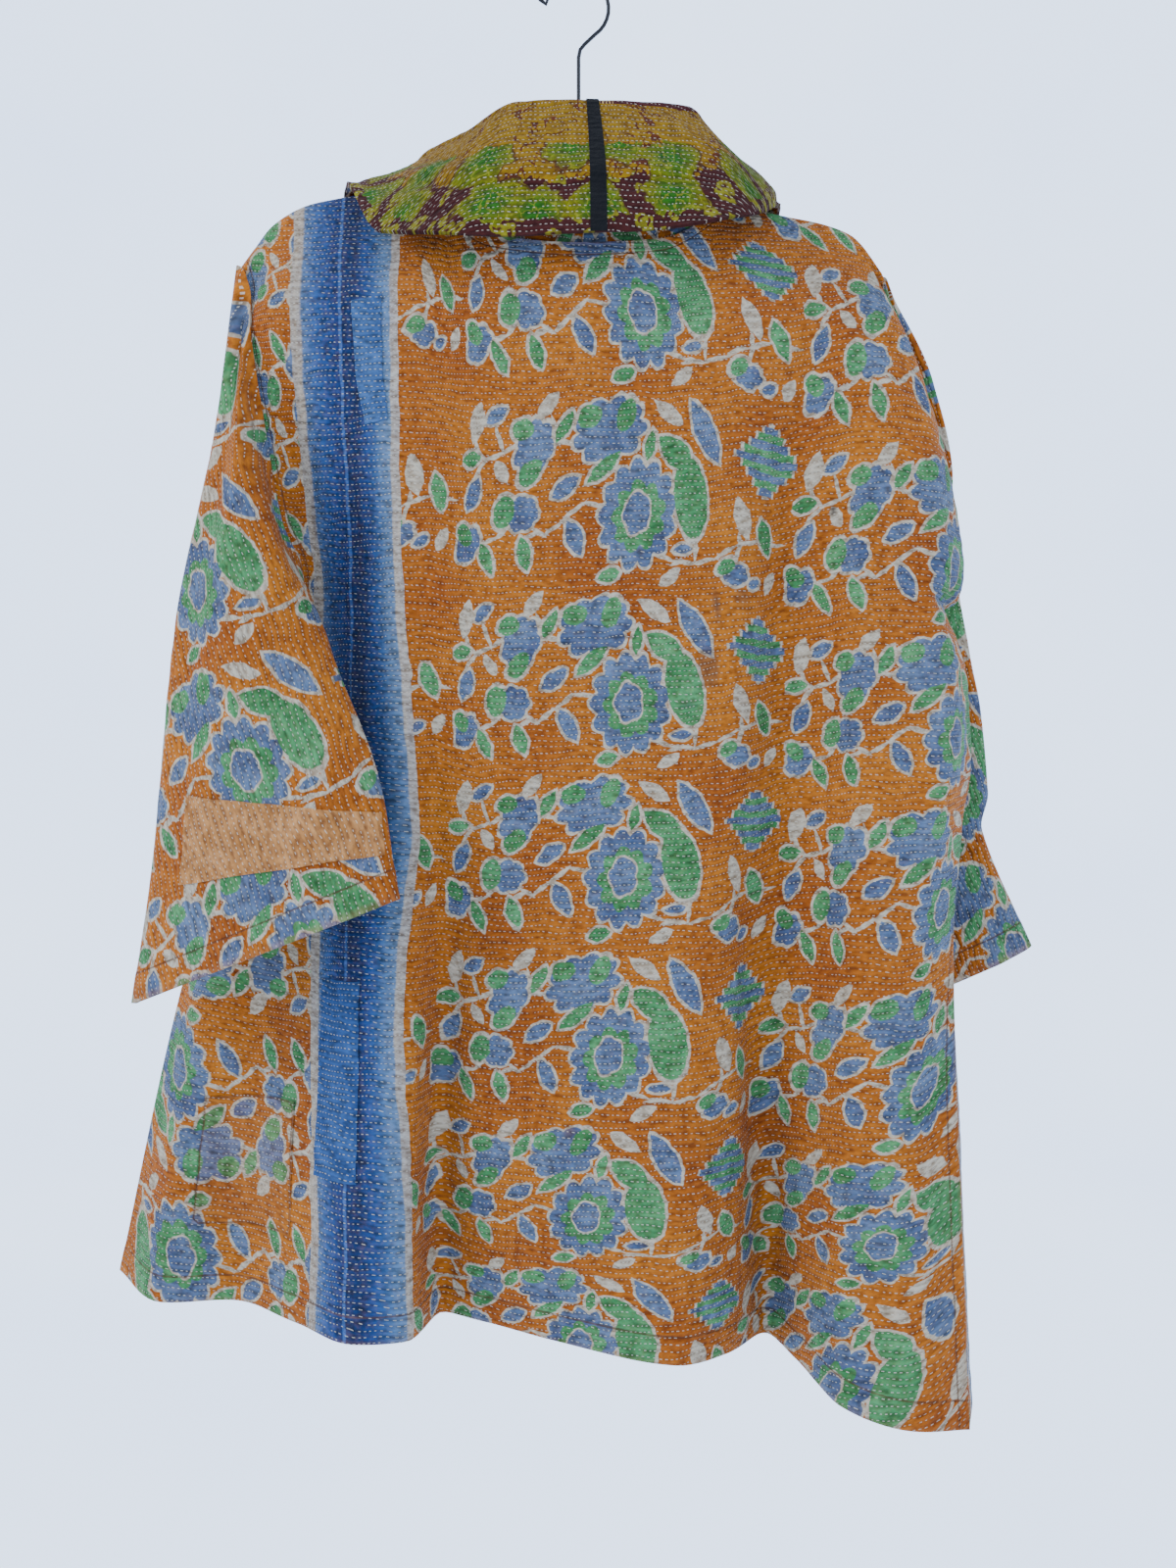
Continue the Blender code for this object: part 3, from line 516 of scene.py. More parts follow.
def from_line(points, line):
    """How far each point is from a line of stops, seen from behind, and how far along the line it is."""
    line = np.array(line, float)
    nearest, along, done = np.full(points.shape[:2], 9.0), np.zeros(points.shape[:2]), 0.0
    lengths = np.linalg.norm(np.diff(line, axis=0), axis=1)
    for start, end, length in zip(line[:-1], line[1:], lengths):
        t = np.clip(((points - start) @ (end - start)) / length**2, 0, 1)
        gap = np.linalg.norm(points - (start + t[..., None] * (end - start)), axis=2)
        along = np.where(gap < nearest, (done + t * length) / lengths.sum(), along)
        nearest, done = np.minimum(nearest, gap), done + length
    return nearest, along


def crease(seen, line, width, depth):
    gap, along = from_line(seen, line)
    return depth * np.exp(-((gap / width) ** 2)) * np.sin(math.pi * np.clip(along, 0.04, 0.96)) ** 0.5


def ripples(cloth, seed, size=0.0009, along=0.030, between=0.0085):
    """Puckers across the cloth: long the way that the stitches run, short from row to row."""
    heights = [noise.noise(Vector((x / along, y / between, seed))) for x, y in cloth.reshape(-1, 2)]
    slow = [noise.noise(Vector((x / 0.11, y / 0.07, seed + 9))) for x, y in cloth.reshape(-1, 2)]
    heights, slow = np.array(heights), np.array(slow)
    return (heights * (0.6 + 0.8 * slow) * size + slow * size).reshape(cloth.shape[:2])


def arc_across(grid):
    steps = np.linalg.norm(np.diff(grid, axis=1), axis=2)
    return np.concatenate([np.zeros((len(grid), 1)), np.cumsum(steps, axis=1)], axis=1)


def arc_down(grid):
    steps = np.linalg.norm(np.diff(grid, axis=0), axis=2)
    return np.concatenate([np.zeros((1, grid.shape[1])), np.cumsum(steps, axis=0)], axis=0)


# %% [markdown]
# From points to cloth. A grid becomes a sheet of quads with two UV maps: one in metres of cloth, which the
# stitches and the stripe follow, and one in metres of print, which the flowers follow. A third value keeps
# how far each point is from the hem, from the seam beside it and from its top edge, for the topstitching.
# Solidify then gives the sheet its real thickness, a little more in the turned hems.

# %% Make a sheet
def pairs(values):
    """For each strip between two columns of points: the values at its left and at its right."""
    return np.stack([values[:, :-1], values[:, 1:]], axis=2)


def at_corners(values, corners):
    if values.ndim == 3:
        values = pairs(values)
    rows, columns, sides = np.array(corners).T
    return values[rows, columns, sides].ravel()


def make_sheet(name, grid, cloth, print_map, edges, outside, inside, thick, outward, closed=False, hem=None):
    rows, columns = grid.shape[:2]
    mesh = bpy.data.meshes.new(name)
    wrap = columns if closed else columns - 1
    faces, corners = [], []
    for row in range(rows - 1):
        for column in range(wrap):
            ring = [(row, 0), (row, 1), (row + 1, 1), (row + 1, 0)]
            faces.append([r * columns + (column + side) % columns for r, side in ring])
            corners += [(r, column, side) for r, side in ring]
    mesh.from_pydata(grid.reshape(-1, 3).tolist(), [], faces)
    for label, values in (("cloth", cloth), ("print", print_map)):
        layer = mesh.uv_layers.new(name=label)
        layer.data.foreach_set("uv", at_corners(values, corners))
    layer = mesh.attributes.new("edges", "FLOAT_VECTOR", "CORNER")
    layer.data.foreach_set("vector", at_corners(edges, corners))
    mesh.update()
    facing = sum((Vector(outward(face.center)).dot(face.normal) * face.area for face in mesh.polygons))
    if facing < 0:
        mesh.flip_normals()
    mesh.materials.append(outside)
    mesh.materials.append(inside)
    made = bpy.data.objects.new(name, mesh)
    bpy.context.scene.collection.objects.link(made)
    bpy.ops.object.select_all(action="DESELECT")
    made.select_set(True)
    bpy.context.view_layer.objects.active = made
    wall = made.modifiers.new("quilt", "SOLIDIFY")
    wall.thickness, wall.offset, wall.material_offset = thick, 0, 1
    if hem is not None:
        group = made.vertex_groups.new(name="hem")
        for index, weight in enumerate(hem.ravel()):
            group.add([index], float(weight), "REPLACE")
        wall.vertex_group, wall.thickness = "hem", thick * 1.5
    bpy.ops.object.modifier_apply(modifier=wall.name)
    made.vertex_groups.clear()
    bpy.ops.object.shade_smooth_by_angle(angle=math.radians(50))
    wide, tall = arc_across(grid)[:, -1], arc_down(grid)[-1]
    print(name, len(made.data.polygons), "faces,", round(flat_area(grid, closed) * 1e4), "square cm,",
          "wide", *[round(v * 1000) for v in (wide.min(), wide.mean(), wide.max())],
          "long", *[round(v * 1000) for v in (tall.min(), tall.mean(), tall.max())])
    return made


def flat_area(grid, closed):
    if closed:
        grid = np.concatenate([grid, grid[:, :1]], axis=1)
    a, b, c, d = grid[:-1, :-1], grid[:-1, 1:], grid[1:, 1:], grid[1:, :-1]
    halves = np.linalg.norm(np.cross(b - a, c - a), axis=2) + np.linalg.norm(np.cross(c - a, d - a), axis=2)
    return float(halves.sum() / 2)


def hem_weight(from_hem, width=0.018):
    """More cloth in the turned hem: 1 in it, two thirds elsewhere."""
    return 0.667 + 0.333 / (1 + np.exp((from_hem - width) / 0.0012))


# %% [markdown]
# The quilt's face is an old block-printed cotton: an orange ground with blue and green flowers, each edged in
# cream. Such a print repeats, so we draw one repeat and wrap it over the cloth. Each shape is a distance: below
# zero inside the shape, above zero outside, in millimetres. The smallest of many distances is the whole motif,
# and the same number gives the cream outline its even width.

# %% Distances for the print's shapes
def half(tree, kind, *values):
    """A Math node: its operation, then its values or the outputs that feed it."""
    return add(tree, "Math", dict(enumerate(values)), operation=kind)


def leaf(tree, place, at, turn, length, width):
    """Distance to a pointed leaf or a stroke of vine, by its half length and half width."""
    own = {"Vector": place, "Location": (*at, 0), "Rotation": (0, 0, math.radians(turn))}
    local = add(tree, "Mapping", own, vector_type="TEXTURE")
    folded = add(tree, "VectorMath", {0: local}, operation="ABSOLUTE")
    radius = (length**2 + width**2) / (2 * width)
    arc = add(tree, "VectorMath", {0: folded, 1: (0, width - radius, 0)}, operation="DISTANCE")
    return half(tree, "SUBTRACT", arc.outputs["Value"], radius)


def bloom(tree, place, at, turn, size, teeth=0, ragged=0.0):
    """Distance to a round petal, or with teeth to a flower of many petals, by its half width and height."""
    own = {"Vector": place, "Location": (*at, 0), "Rotation": (0, 0, math.radians(turn)), "Scale": (*size, 1)}
    local = add(tree, "Mapping", own, vector_type="TEXTURE")
    out = add(tree, "VectorMath", {0: local}, operation="LENGTH").outputs["Value"]
    if teeth:
        parts = add(tree, "SeparateXYZ", {0: local})
        angle = half(tree, "ARCTAN2", parts.outputs[1], parts.outputs[0])
        wave = half(tree, "ABSOLUTE", half(tree, "SINE", half(tree, "MULTIPLY", angle, teeth / 2)))
        out = half(tree, "MULTIPLY_ADD", wave, -ragged, out).outputs[0]
    return half(tree, "MULTIPLY_ADD", out, min(size), -min(size) * (1 - ragged * 0.8))


def vine(tree, place, route, width=1.7):
    """Strokes of vine from stop to stop."""
    strokes = []
    for (x0, y0), (x1, y1) in zip(route[:-1], route[1:]):
        middle, turn = ((x0 + x1) / 2, (y0 + y1) / 2), math.degrees(math.atan2(y1 - y0, x1 - x0))
        strokes.append(leaf(tree, place, middle, turn, math.hypot(x1 - x0, y1 - y0) / 2 + 2.5, width))
    return strokes


def nearest(tree, shapes):
    found = shapes[0]
    for shape in shapes[1:]:
        found = half(tree, "MINIMUM", found, shape)
    return found


def mixed(tree, amount, first, second):
    """One colour laid over another by an amount."""
    made = add(tree, "Mix", {"Factor": amount}, data_type="RGBA")
    for key, value in ((6, first), (7, second)):
        if isinstance(value, tuple):
            made.inputs[key].default_value = value
        else:
            tree.links.new(value, made.inputs[key])
    return made.outputs[2]


def inside(tree, distance, edge=0.0, soft=0.25):
    """1 inside a shape and 0 outside it, with the slightly soft edge of a print on cloth."""
    return add(tree, "MapRange", {0: distance, 1: edge + soft, 2: edge - soft})


# %% One repeat of the print, in millimetres from the middle of its big flower
REPEAT_WIDE, REPEAT_TALL, REPEAT_DROP = 258.0, 130.0, -22.0
REPEAT_FOOT = -50.0  # the repeat's lower edge
BLUE_BLOOMS = [
    ((-24.4, 54.5), 20, (26, 20), 9, 0.22), ((-78.0, 44.0), 70, (19, 13), 7, 0.18),
    ((-84.0, 2.0), 20, (12, 12), 7, 0.15), ((-122.5, -20.0), -30, (9, 13), 5, 0.15),
    ((81.0, -39.0), 20, (10, 7.5), 5, 0.15),
]
BLUE_LEAVES = [
    ((48.5, 53.0), -57, 23, 7.5), ((-107.0, 65.0), 35, 9, 4.5), ((-122.0, 14.0), 70, 12, 5.5),
    ((-54.0, 18.5), 35, 11, 5.5), ((-44.0, -15.0), -62, 13, 5.5), ((37.0, -22.5), 5, 8, 3.2),
    ((96.0, -43.0), 30, 6, 3.4),
]
GREEN_BLOOMS = [
    ((39.5, 11.0), -76, (27, 13.5), 0, 0), ((-39.0, 63.0), 20, (9, 7), 0, 0),
    ((-13.0, 64.0), 70, (11, 6.5), 0, 0), ((-87.0, 56.0), 20, (8, 6.5), 0, 0),
    ((-80.0, 28.5), 50, (10, 6.5), 0, 0), ((-96.5, 3.0), 80, (11, 7.5), 0, 0),
    ((-126.0, -13.0), 40, (6, 8), 0, 0), ((73.5, -34.0), 30, (7.5, 5), 0, 0),
]
GREEN_LEAVES = [
    ((25.5, 40.0), -35, 17, 8.5), ((5.0, 45.0), 82, 10, 3.6), ((-27.0, 31.0), 42, 15, 5.0),
    ((-57.0, 57.0), 62, 11, 4.4), ((-126.0, 37.0), 15, 9, 4.8), ((-106.0, -28.0), -62, 12, 4.6),
    ((-78.5, -25.0), -72, 12, 4.8), ((-16.0, -40.5), 18, 8, 4.6), ((104.5, -9.0), -68, 13, 6.2),
]
CREAM_LEAVES = [
    ((18.0, 65.5), -33, 14, 5.4), ((-69.0, 71.0), 52, 11, 5.2), ((-122.0, 60.0), 78, 14, 6.4),
    ((-101.0, 29.0), -55, 9, 4.4), ((28.0, -41.5), 34, 10, 4.8), ((84.0, 0.0), 112, 15, 6.4),
    ((112.0, -40.0), 62, 9, 4.6),
]
VINES = [
    [(12, -25), (30, -30.5), (47, -32.5), (64, -29), (80, -20), (97, -13), (121, -12)],
    [(48, -15), (47, -31)],
    [(29, -33), (40, -31)],
    [(84, -17), (80, -32)],
    [(83, -12), (84, -20)],
    [(-74, -8), (-66, -13), (-54, -3), (-40, 8), (-24, 5)],
    [(-47, -6), (-54, -3)],
    [(-79, -14), (-71, -11)],
    [(-90, 47), (-100, 41), (-113, 37), (-120, 41), (-122, 48)],
    [(-107, 58), (-100, 41)],
    [(-113, 37), (-122, 26)],
    [(-62, 48), (-50, 46)],
    [(-66, 63), (-60, 47)],
    [(-118, -8), (-112, -18), (-100, -14), (-94, -8)],
]


# %% The whole print as one colour
def flowered(tree, print_place, ground):
    """The print over a ground colour; print_place is in millimetres of cloth."""
    parts = add(tree, "SeparateXYZ", {0: print_place})
    column = half(tree, "ROUND", half(tree, "DIVIDE", half(tree, "ADD", parts.outputs[0], 5.5), REPEAT_WIDE))
    across = half(tree, "MULTIPLY_ADD", column, -REPEAT_WIDE, parts.outputs[0])
    down = half(tree, "MULTIPLY_ADD", column, -REPEAT_DROP, parts.outputs[1])
    down = half(tree, "WRAP", down, REPEAT_TALL + REPEAT_FOOT, REPEAT_FOOT)
    wander = add(tree, "TexNoise", {"Vector": print_place, "Scale": 0.11, "Detail": 2.5})
    shift = add(tree, "VectorMath", {0: wander.outputs["Color"], 1: (0.5, 0.5, 0.5)}, operation="SUBTRACT")
    cell = add(tree, "CombineXYZ", {0: across, 1: down, 2: 0.0})
    place = add(tree, "VectorMath", {0: shift, 1: (4.2, 4.2, 0), 2: cell}, operation="MULTIPLY_ADD")
    place = add(tree, "VectorMath", {0: place, 1: (1, 1, 0)}, operation="MULTIPLY").outputs[0]

    flower = bloom(tree, place, (0, 0), 0, (27.5, 35.5), 13, 0.17)
    ring = bloom(tree, place, (0.5, -1), 0, (19, 23.5), 9, 0.22)
    heart = bloom(tree, place, (-1, 1), 0, (9.5, 14), 5, 0.12)
    blue = nearest(tree, [flower] + [bloom(tree, place, at, turn, size, teeth, ragged)
                                     for at, turn, size, teeth, ragged in BLUE_BLOOMS]
                   + [leaf(tree, place, *values) for values in BLUE_LEAVES])
    green = nearest(tree, [bloom(tree, place, at, turn, size) for at, turn, size, _, _ in GREEN_BLOOMS]
                    + [leaf(tree, place, *values) for values in GREEN_LEAVES])
    cream = [leaf(tree, place, *values) for values in CREAM_LEAVES]
    for route in VINES:
        cream += vine(tree, place, route)
    cream = nearest(tree, cream)

    # The stepped diamond: rows of cloth-wide steps, blue and green in turn
    own = {"Vector": place, "Location": (100.0, 41.0, 0), "Rotation": (0, 0, 0)}
    spot = add(tree, "SeparateXYZ", {0: add(tree, "Mapping", own, vector_type="TEXTURE")})
    step = half(tree, "ROUND", half(tree, "DIVIDE", spot.outputs[1], 5.0))
    reach = half(tree, "ABSOLUTE", half(tree, "MULTIPLY", step, 5.0))
    diamond = half(tree, "SUBTRACT", half(tree, "ADD", half(tree, "ABSOLUTE", spot.outputs[0]), reach), 25.5)
    too_tall = half(tree, "SUBTRACT", half(tree, "ABSOLUTE", spot.outputs[1]), 22.5)
    diamond = half(tree, "MAXIMUM", diamond, too_tall)
    away = half(tree, "MAXIMUM", half(tree, "MULTIPLY", column, -60.0), 0.0)
    diamond = half(tree, "ADD", diamond, away)
    odd = half(tree, "PINGPONG", step, 1.0)

    hue = add(tree, "TexNoise", {"Vector": print_place, "Scale": 0.035, "Detail": 3.0})
    faded = add(tree, "MapRange", {0: hue.outputs["Fac"], 1: 0.35, 2: 0.65})
    blues = mixed(tree, faded, linear("38465F"), linear("4F6076"))
    greens = mixed(tree, faded, linear("2B6235"), linear("437B4B"))
    creams = linear("9A8F7A")
    anything = nearest(tree, [blue, green, diamond])
    colour = mixed(tree, inside(tree, anything, 2.0), ground, creams)
    colour = mixed(tree, inside(tree, cream), colour, creams)
    colour = mixed(tree, inside(tree, blue), colour, blues)
    colour = mixed(tree, inside(tree, ring), colour, greens)
    colour = mixed(tree, inside(tree, heart, 1.2), colour, creams)
    colour = mixed(tree, inside(tree, heart), colour, blues)
    colour = mixed(tree, inside(tree, green), colour, greens)
    both = mixed(tree, odd, blues, greens)
    return mixed(tree, inside(tree, diamond), colour, both)


# %% [markdown]
# Kantha, the running stitch that holds the layers together: white cotton, in rows 4 mm apart, each stitch about
# 2 mm long. No row is quite straight. The thread pulls the cloth down along each row, so the same pattern that
# paints the stitches also gives the bump its small valleys and the puckers between them.

# %% Running stitches
ROW, PITCH = 4.1, 3.5


def stitched(tree, cloth):
    """Where a stitch shows, and the height of the puckered cloth, both from the place on the cloth in mm."""
    parts = add(tree, "SeparateXYZ", {0: cloth})
    sway = add(tree, "TexNoise", {"Vector": cloth, "Scale": 0.03, "Detail": 2.0})
    rows = half(tree, "DIVIDE", parts.outputs[1], ROW)
    rows = half(tree, "MULTIPLY_ADD", sway.outputs["Fac"], 2.2, rows)
    row = half(tree, "FLOOR", rows)
    from_row = half(tree, "ABSOLUTE", half(tree, "SUBTRACT", half(tree, "FRACT", rows), 0.5))
    start = add(tree, "TexWhiteNoise", {"W": row}, noise_dimensions="1D")
    steps = half(tree, "DIVIDE", parts.outputs[0], PITCH)
    steps = half(tree, "MULTIPLY_ADD", start.outputs["Value"], 9.0, steps)
    steps = half(tree, "MULTIPLY_ADD", sway.outputs["Fac"], 5.0, steps)
    beat = half(tree, "ABSOLUTE", half(tree, "SUBTRACT", half(tree, "FRACT", steps), 0.5))
    mark = add(tree, "CombineXYZ", {0: half(tree, "FLOOR", steps), 1: row, 2: 0.0})
    chance = add(tree, "TexWhiteNoise", {"Vector": mark}, noise_dimensions="3D")
    long_enough = half(tree, "LESS_THAN", beat, half(tree, "MULTIPLY_ADD", chance.outputs["Value"], 0.11, 0.16))
    on_row = half(tree, "LESS_THAN", from_row, 0.072)
    kept = half(tree, "GREATER_THAN", chance.outputs["Value"], 0.05)
    shown = half(tree, "MULTIPLY", half(tree, "MULTIPLY", long_enough, on_row), kept)
    pull = add(tree, "Mapping", {"Vector": cloth, "Scale": (0.14, 0.25, 1)})
    pucker = add(tree, "TexNoise", {"Vector": pull, "Scale": 1.0, "Detail": 2.0})
    puff = half(tree, "POWER", half(tree, "MULTIPLY", from_row, 2.0), 0.6)
    height = half(tree, "MULTIPLY_ADD", pucker.outputs["Fac"], 2.4, half(tree, "MULTIPLY", puff, 0.42))
    height = half(tree, "MULTIPLY_ADD", shown, 0.16, height)
    threads = add(tree, "TexNoise", {"Vector": cloth, "Scale": 1.7, "Detail": 1.0})
    return shown, half(tree, "MULTIPLY_ADD", threads.outputs["Fac"], 0.16, height)


def quilted_colour(tree, colour, shown, height):
    """Painted shade in the low places between puckers, a darker brown of the cloth's own colour; the greyed
    thread is on top.
    """
    # painted shade: the lower the puckered cloth, the more of a darker brown of its own colour is mixed in
    low = add(tree, "MapRange", {0: height, 1: 1.85, 2: 1.05, 3: 0.0, 4: 0.75})
    painted_hollow_shade = add(tree, "VectorMath", {0: colour, 1: (0.30, 0.19, 0.11)}, operation="MULTIPLY")
    colour = mixed(tree, low, colour, painted_hollow_shade.outputs[0])
    return mixed(tree, half(tree, "MULTIPLY", shown, 0.6), colour, linear("B4AA98"))


def cloth_places(tree):
    """The place on the cloth, the place in the print, and the distances to the piece's edges, all in mm."""
    places = []
    for label in ("cloth", "print"):
        layer = add(tree, "UVMap", uv_map=label)
        places.append(add(tree, "VectorMath", {0: layer, 3: 1000.0}, operation="SCALE").outputs[0])
    edges = add(tree, "Attribute", attribute_name="edges", attribute_type="GEOMETRY")
    scaled = add(tree, "VectorMath", {0: edges.outputs["Vector"], 3: 1000.0}, operation="SCALE")
    return (*places, add(tree, "SeparateXYZ", {0: scaled}))


def seam_lines(tree, edges, colour, height):
    """Topstitching beside the hem, the side seam and the neck, and the dirt that edges pick up."""
    lines = []
    for gap, away in zip(edges.outputs, (18.0, 8.0, 9.0)):
        lines.append(half(tree, "ABSOLUTE", half(tree, "SUBTRACT", gap, away)))
    groove = inside(tree, nearest(tree, lines), 0.5, 0.5)
    rim = nearest(tree, list(edges.outputs))
    worn = inside(tree, rim, 1.0, 2.0)
    colour = mixed(tree, half(tree, "MULTIPLY", groove, 0.55), colour, linear("6B4A33"))
    colour = mixed(tree, half(tree, "MULTIPLY", worn, 0.3), colour, linear("8A5A38"))
    return colour, half(tree, "MULTIPLY_ADD", groove, -0.5, height)


def finish_quilt(tree, shader, colour, height):
    bump = add(tree, "Bump", {"Height": height, "Distance": 0.0015, "Strength": 1.0})
    tree.links.new(colour, shader.inputs["Base Color"])
    tree.links.new(bump.outputs[0], shader.inputs["Normal"])


# %% [markdown]
# Two loom widths were joined on the back, and their borders meet there as one broad stripe: cream, pale blue,
# middle blue and a navy band beside the raised join. A colour ramp across the cloth paints it, its edges drawn
# out by a little noise, because the dye ran.

# %% The stripe's colours, by millimetres from the join
STRIPE = [
    (-37.0, "968A75"), (-29.5, "928775"), (-28.0, "475D78"), (-20.0, "2A4872"), (-12.0, "1A3763"),
    (-4.5, "102751"), (-1.6, "102650"), (-1.0, "31507F"), (0.6, "31507F"), (1.2, "0B1D40"), (10.0, "0D1F42"),
    (17.0, "183664"), (23.0, "28486F"), (28.0, "47627F"), (34.3, "566D83"), (35.3, "968D7E"), (41.0, "988E7D"),
]


def striped(tree, cloth, colour):
    """The stripe over a colour; cloth is the place in millimetres from the join."""
    streaks = add(tree, "Mapping", {"Vector": cloth, "Scale": (0.35, 0.014, 1)})
    dye = add(tree, "TexNoise", {"Vector": streaks, "Scale": 1.0, "Detail": 4.0})
    slow = add(tree, "TexNoise", {"Vector": cloth, "Scale": 0.025, "Detail": 3.0})
    parts = add(tree, "SeparateXYZ", {0: cloth})
    across = half(tree, "MULTIPLY_ADD", slow.outputs["Fac"], 5.0, half(tree, "SUBTRACT", parts.outputs[0], 2.5))
    low, high = STRIPE[0][0], STRIPE[-1][0]
    fac = add(tree, "MapRange", {0: across, 1: low, 2: high})
    ramp = add(tree, "ValToRGB", {0: fac})
    stops = ramp.color_ramp.elements
    while len(stops) < len(STRIPE):
        stops.new(0.5)
    for stop, (place, code) in zip(stops, STRIPE):
        stop.position = (place - low) / (high - low)
        stop.color = linear(code)
    tone = add(tree, "MapRange", {0: dye.outputs["Fac"], 1: 0.3, 2: 0.7, 3: 0.0, 4: 0.4})
    dyed = mixed(tree, tone, ramp.outputs["Color"], linear("2C4874"))
    dyed = mixed(tree, 0.55, ramp.outputs["Color"], dyed)
    on = half(tree, "MULTIPLY", half(tree, "GREATER_THAN", across, low), half(tree, "LESS_THAN", across, high))
    return mixed(tree, on, colour, dyed)


# %% The printed face of the quilt
def printed_quilt(name, worn=0.0, stains=()):
    made, tree, shader = new_material(name, Roughness=0.92, Specular_IOR_Level=0.12, Sheen_Weight=0.02)
    cloth, print_place, edges = cloth_places(tree)
    clouds = add(tree, "TexNoise", {"Vector": cloth, "Scale": 0.012, "Detail": 4.0})
    even = add(tree, "MapRange", {0: clouds.outputs["Fac"], 1: 0.36, 2: 0.64})
    ground = mixed(tree, even, linear("803F0A"), linear("985611"))
    colour = flowered(tree, print_place, ground)
    colour = striped(tree, cloth, colour)
    rub = add(tree, "TexNoise", {"Vector": cloth, "Scale": 0.22, "Detail": 5.0, "Roughness": 0.7})
    rubbed = add(tree, "MapRange", {0: rub.outputs["Fac"], 1: 0.45, 2: 0.8, 3: worn, 4: 0.22 + worn})
    colour = mixed(tree, rubbed, colour, linear("8A5B30"))
    for at, size, strength, code in stains:
        spot = bloom(tree, cloth, at, 0, size)
        amount = half(tree, "MULTIPLY", inside(tree, spot, 0.5, 2.0), strength)
        colour = mixed(tree, amount, colour, linear(code))
    shown, height = stitched(tree, cloth)
    colour, height = seam_lines(tree, edges, colour, height)
    colour = quilted_colour(tree, colour, shown, height)
    finish_quilt(tree, shader, colour, height)
    print(name, len(tree.nodes), "nodes")
    return made


# %% [markdown]
# The reverse is another old cotton. It shows on the collar, which folds over: mustard with thin maroon sprigs
# near the fold, big leafy blooms in green and olive below it, and a maroon ground with small yellow flowers
# along the edge. Cells scattered by a Voronoi texture give the blooms, and noise gives the sprigs their curls.

# %% The border of the reverse, along the fold to the right of the tape
def border_band(tree, fold_place, colour):
    """A maroon band 10 mm wide, with yellow bars across both of its ends; the place is in mm from the tape."""
    parts = add(tree, "SeparateXYZ", {0: fold_place})
    middle = half(tree, "ABSOLUTE", half(tree, "SUBTRACT", parts.outputs[0], 56.0))
    within = half(tree, "LESS_THAN", middle, 50.0)
    narrow = half(tree, "LESS_THAN", half(tree, "ABSOLUTE", half(tree, "SUBTRACT", parts.outputs[1], 1.0)), 6.0)
    band = half(tree, "MULTIPLY", within, narrow)
    colour = mixed(tree, band, colour, linear("3A0F12"))
    bars = half(tree, "LESS_THAN", half(tree, "PINGPONG", parts.outputs[0], 1.5), 0.6)
    ends = half(tree, "MULTIPLY", half(tree, "GREATER_THAN", middle, 38.0), half(tree, "MULTIPLY", bars, band))
    return mixed(tree, half(tree, "MULTIPLY", ends, 0.85), colour, linear("A58B55"))


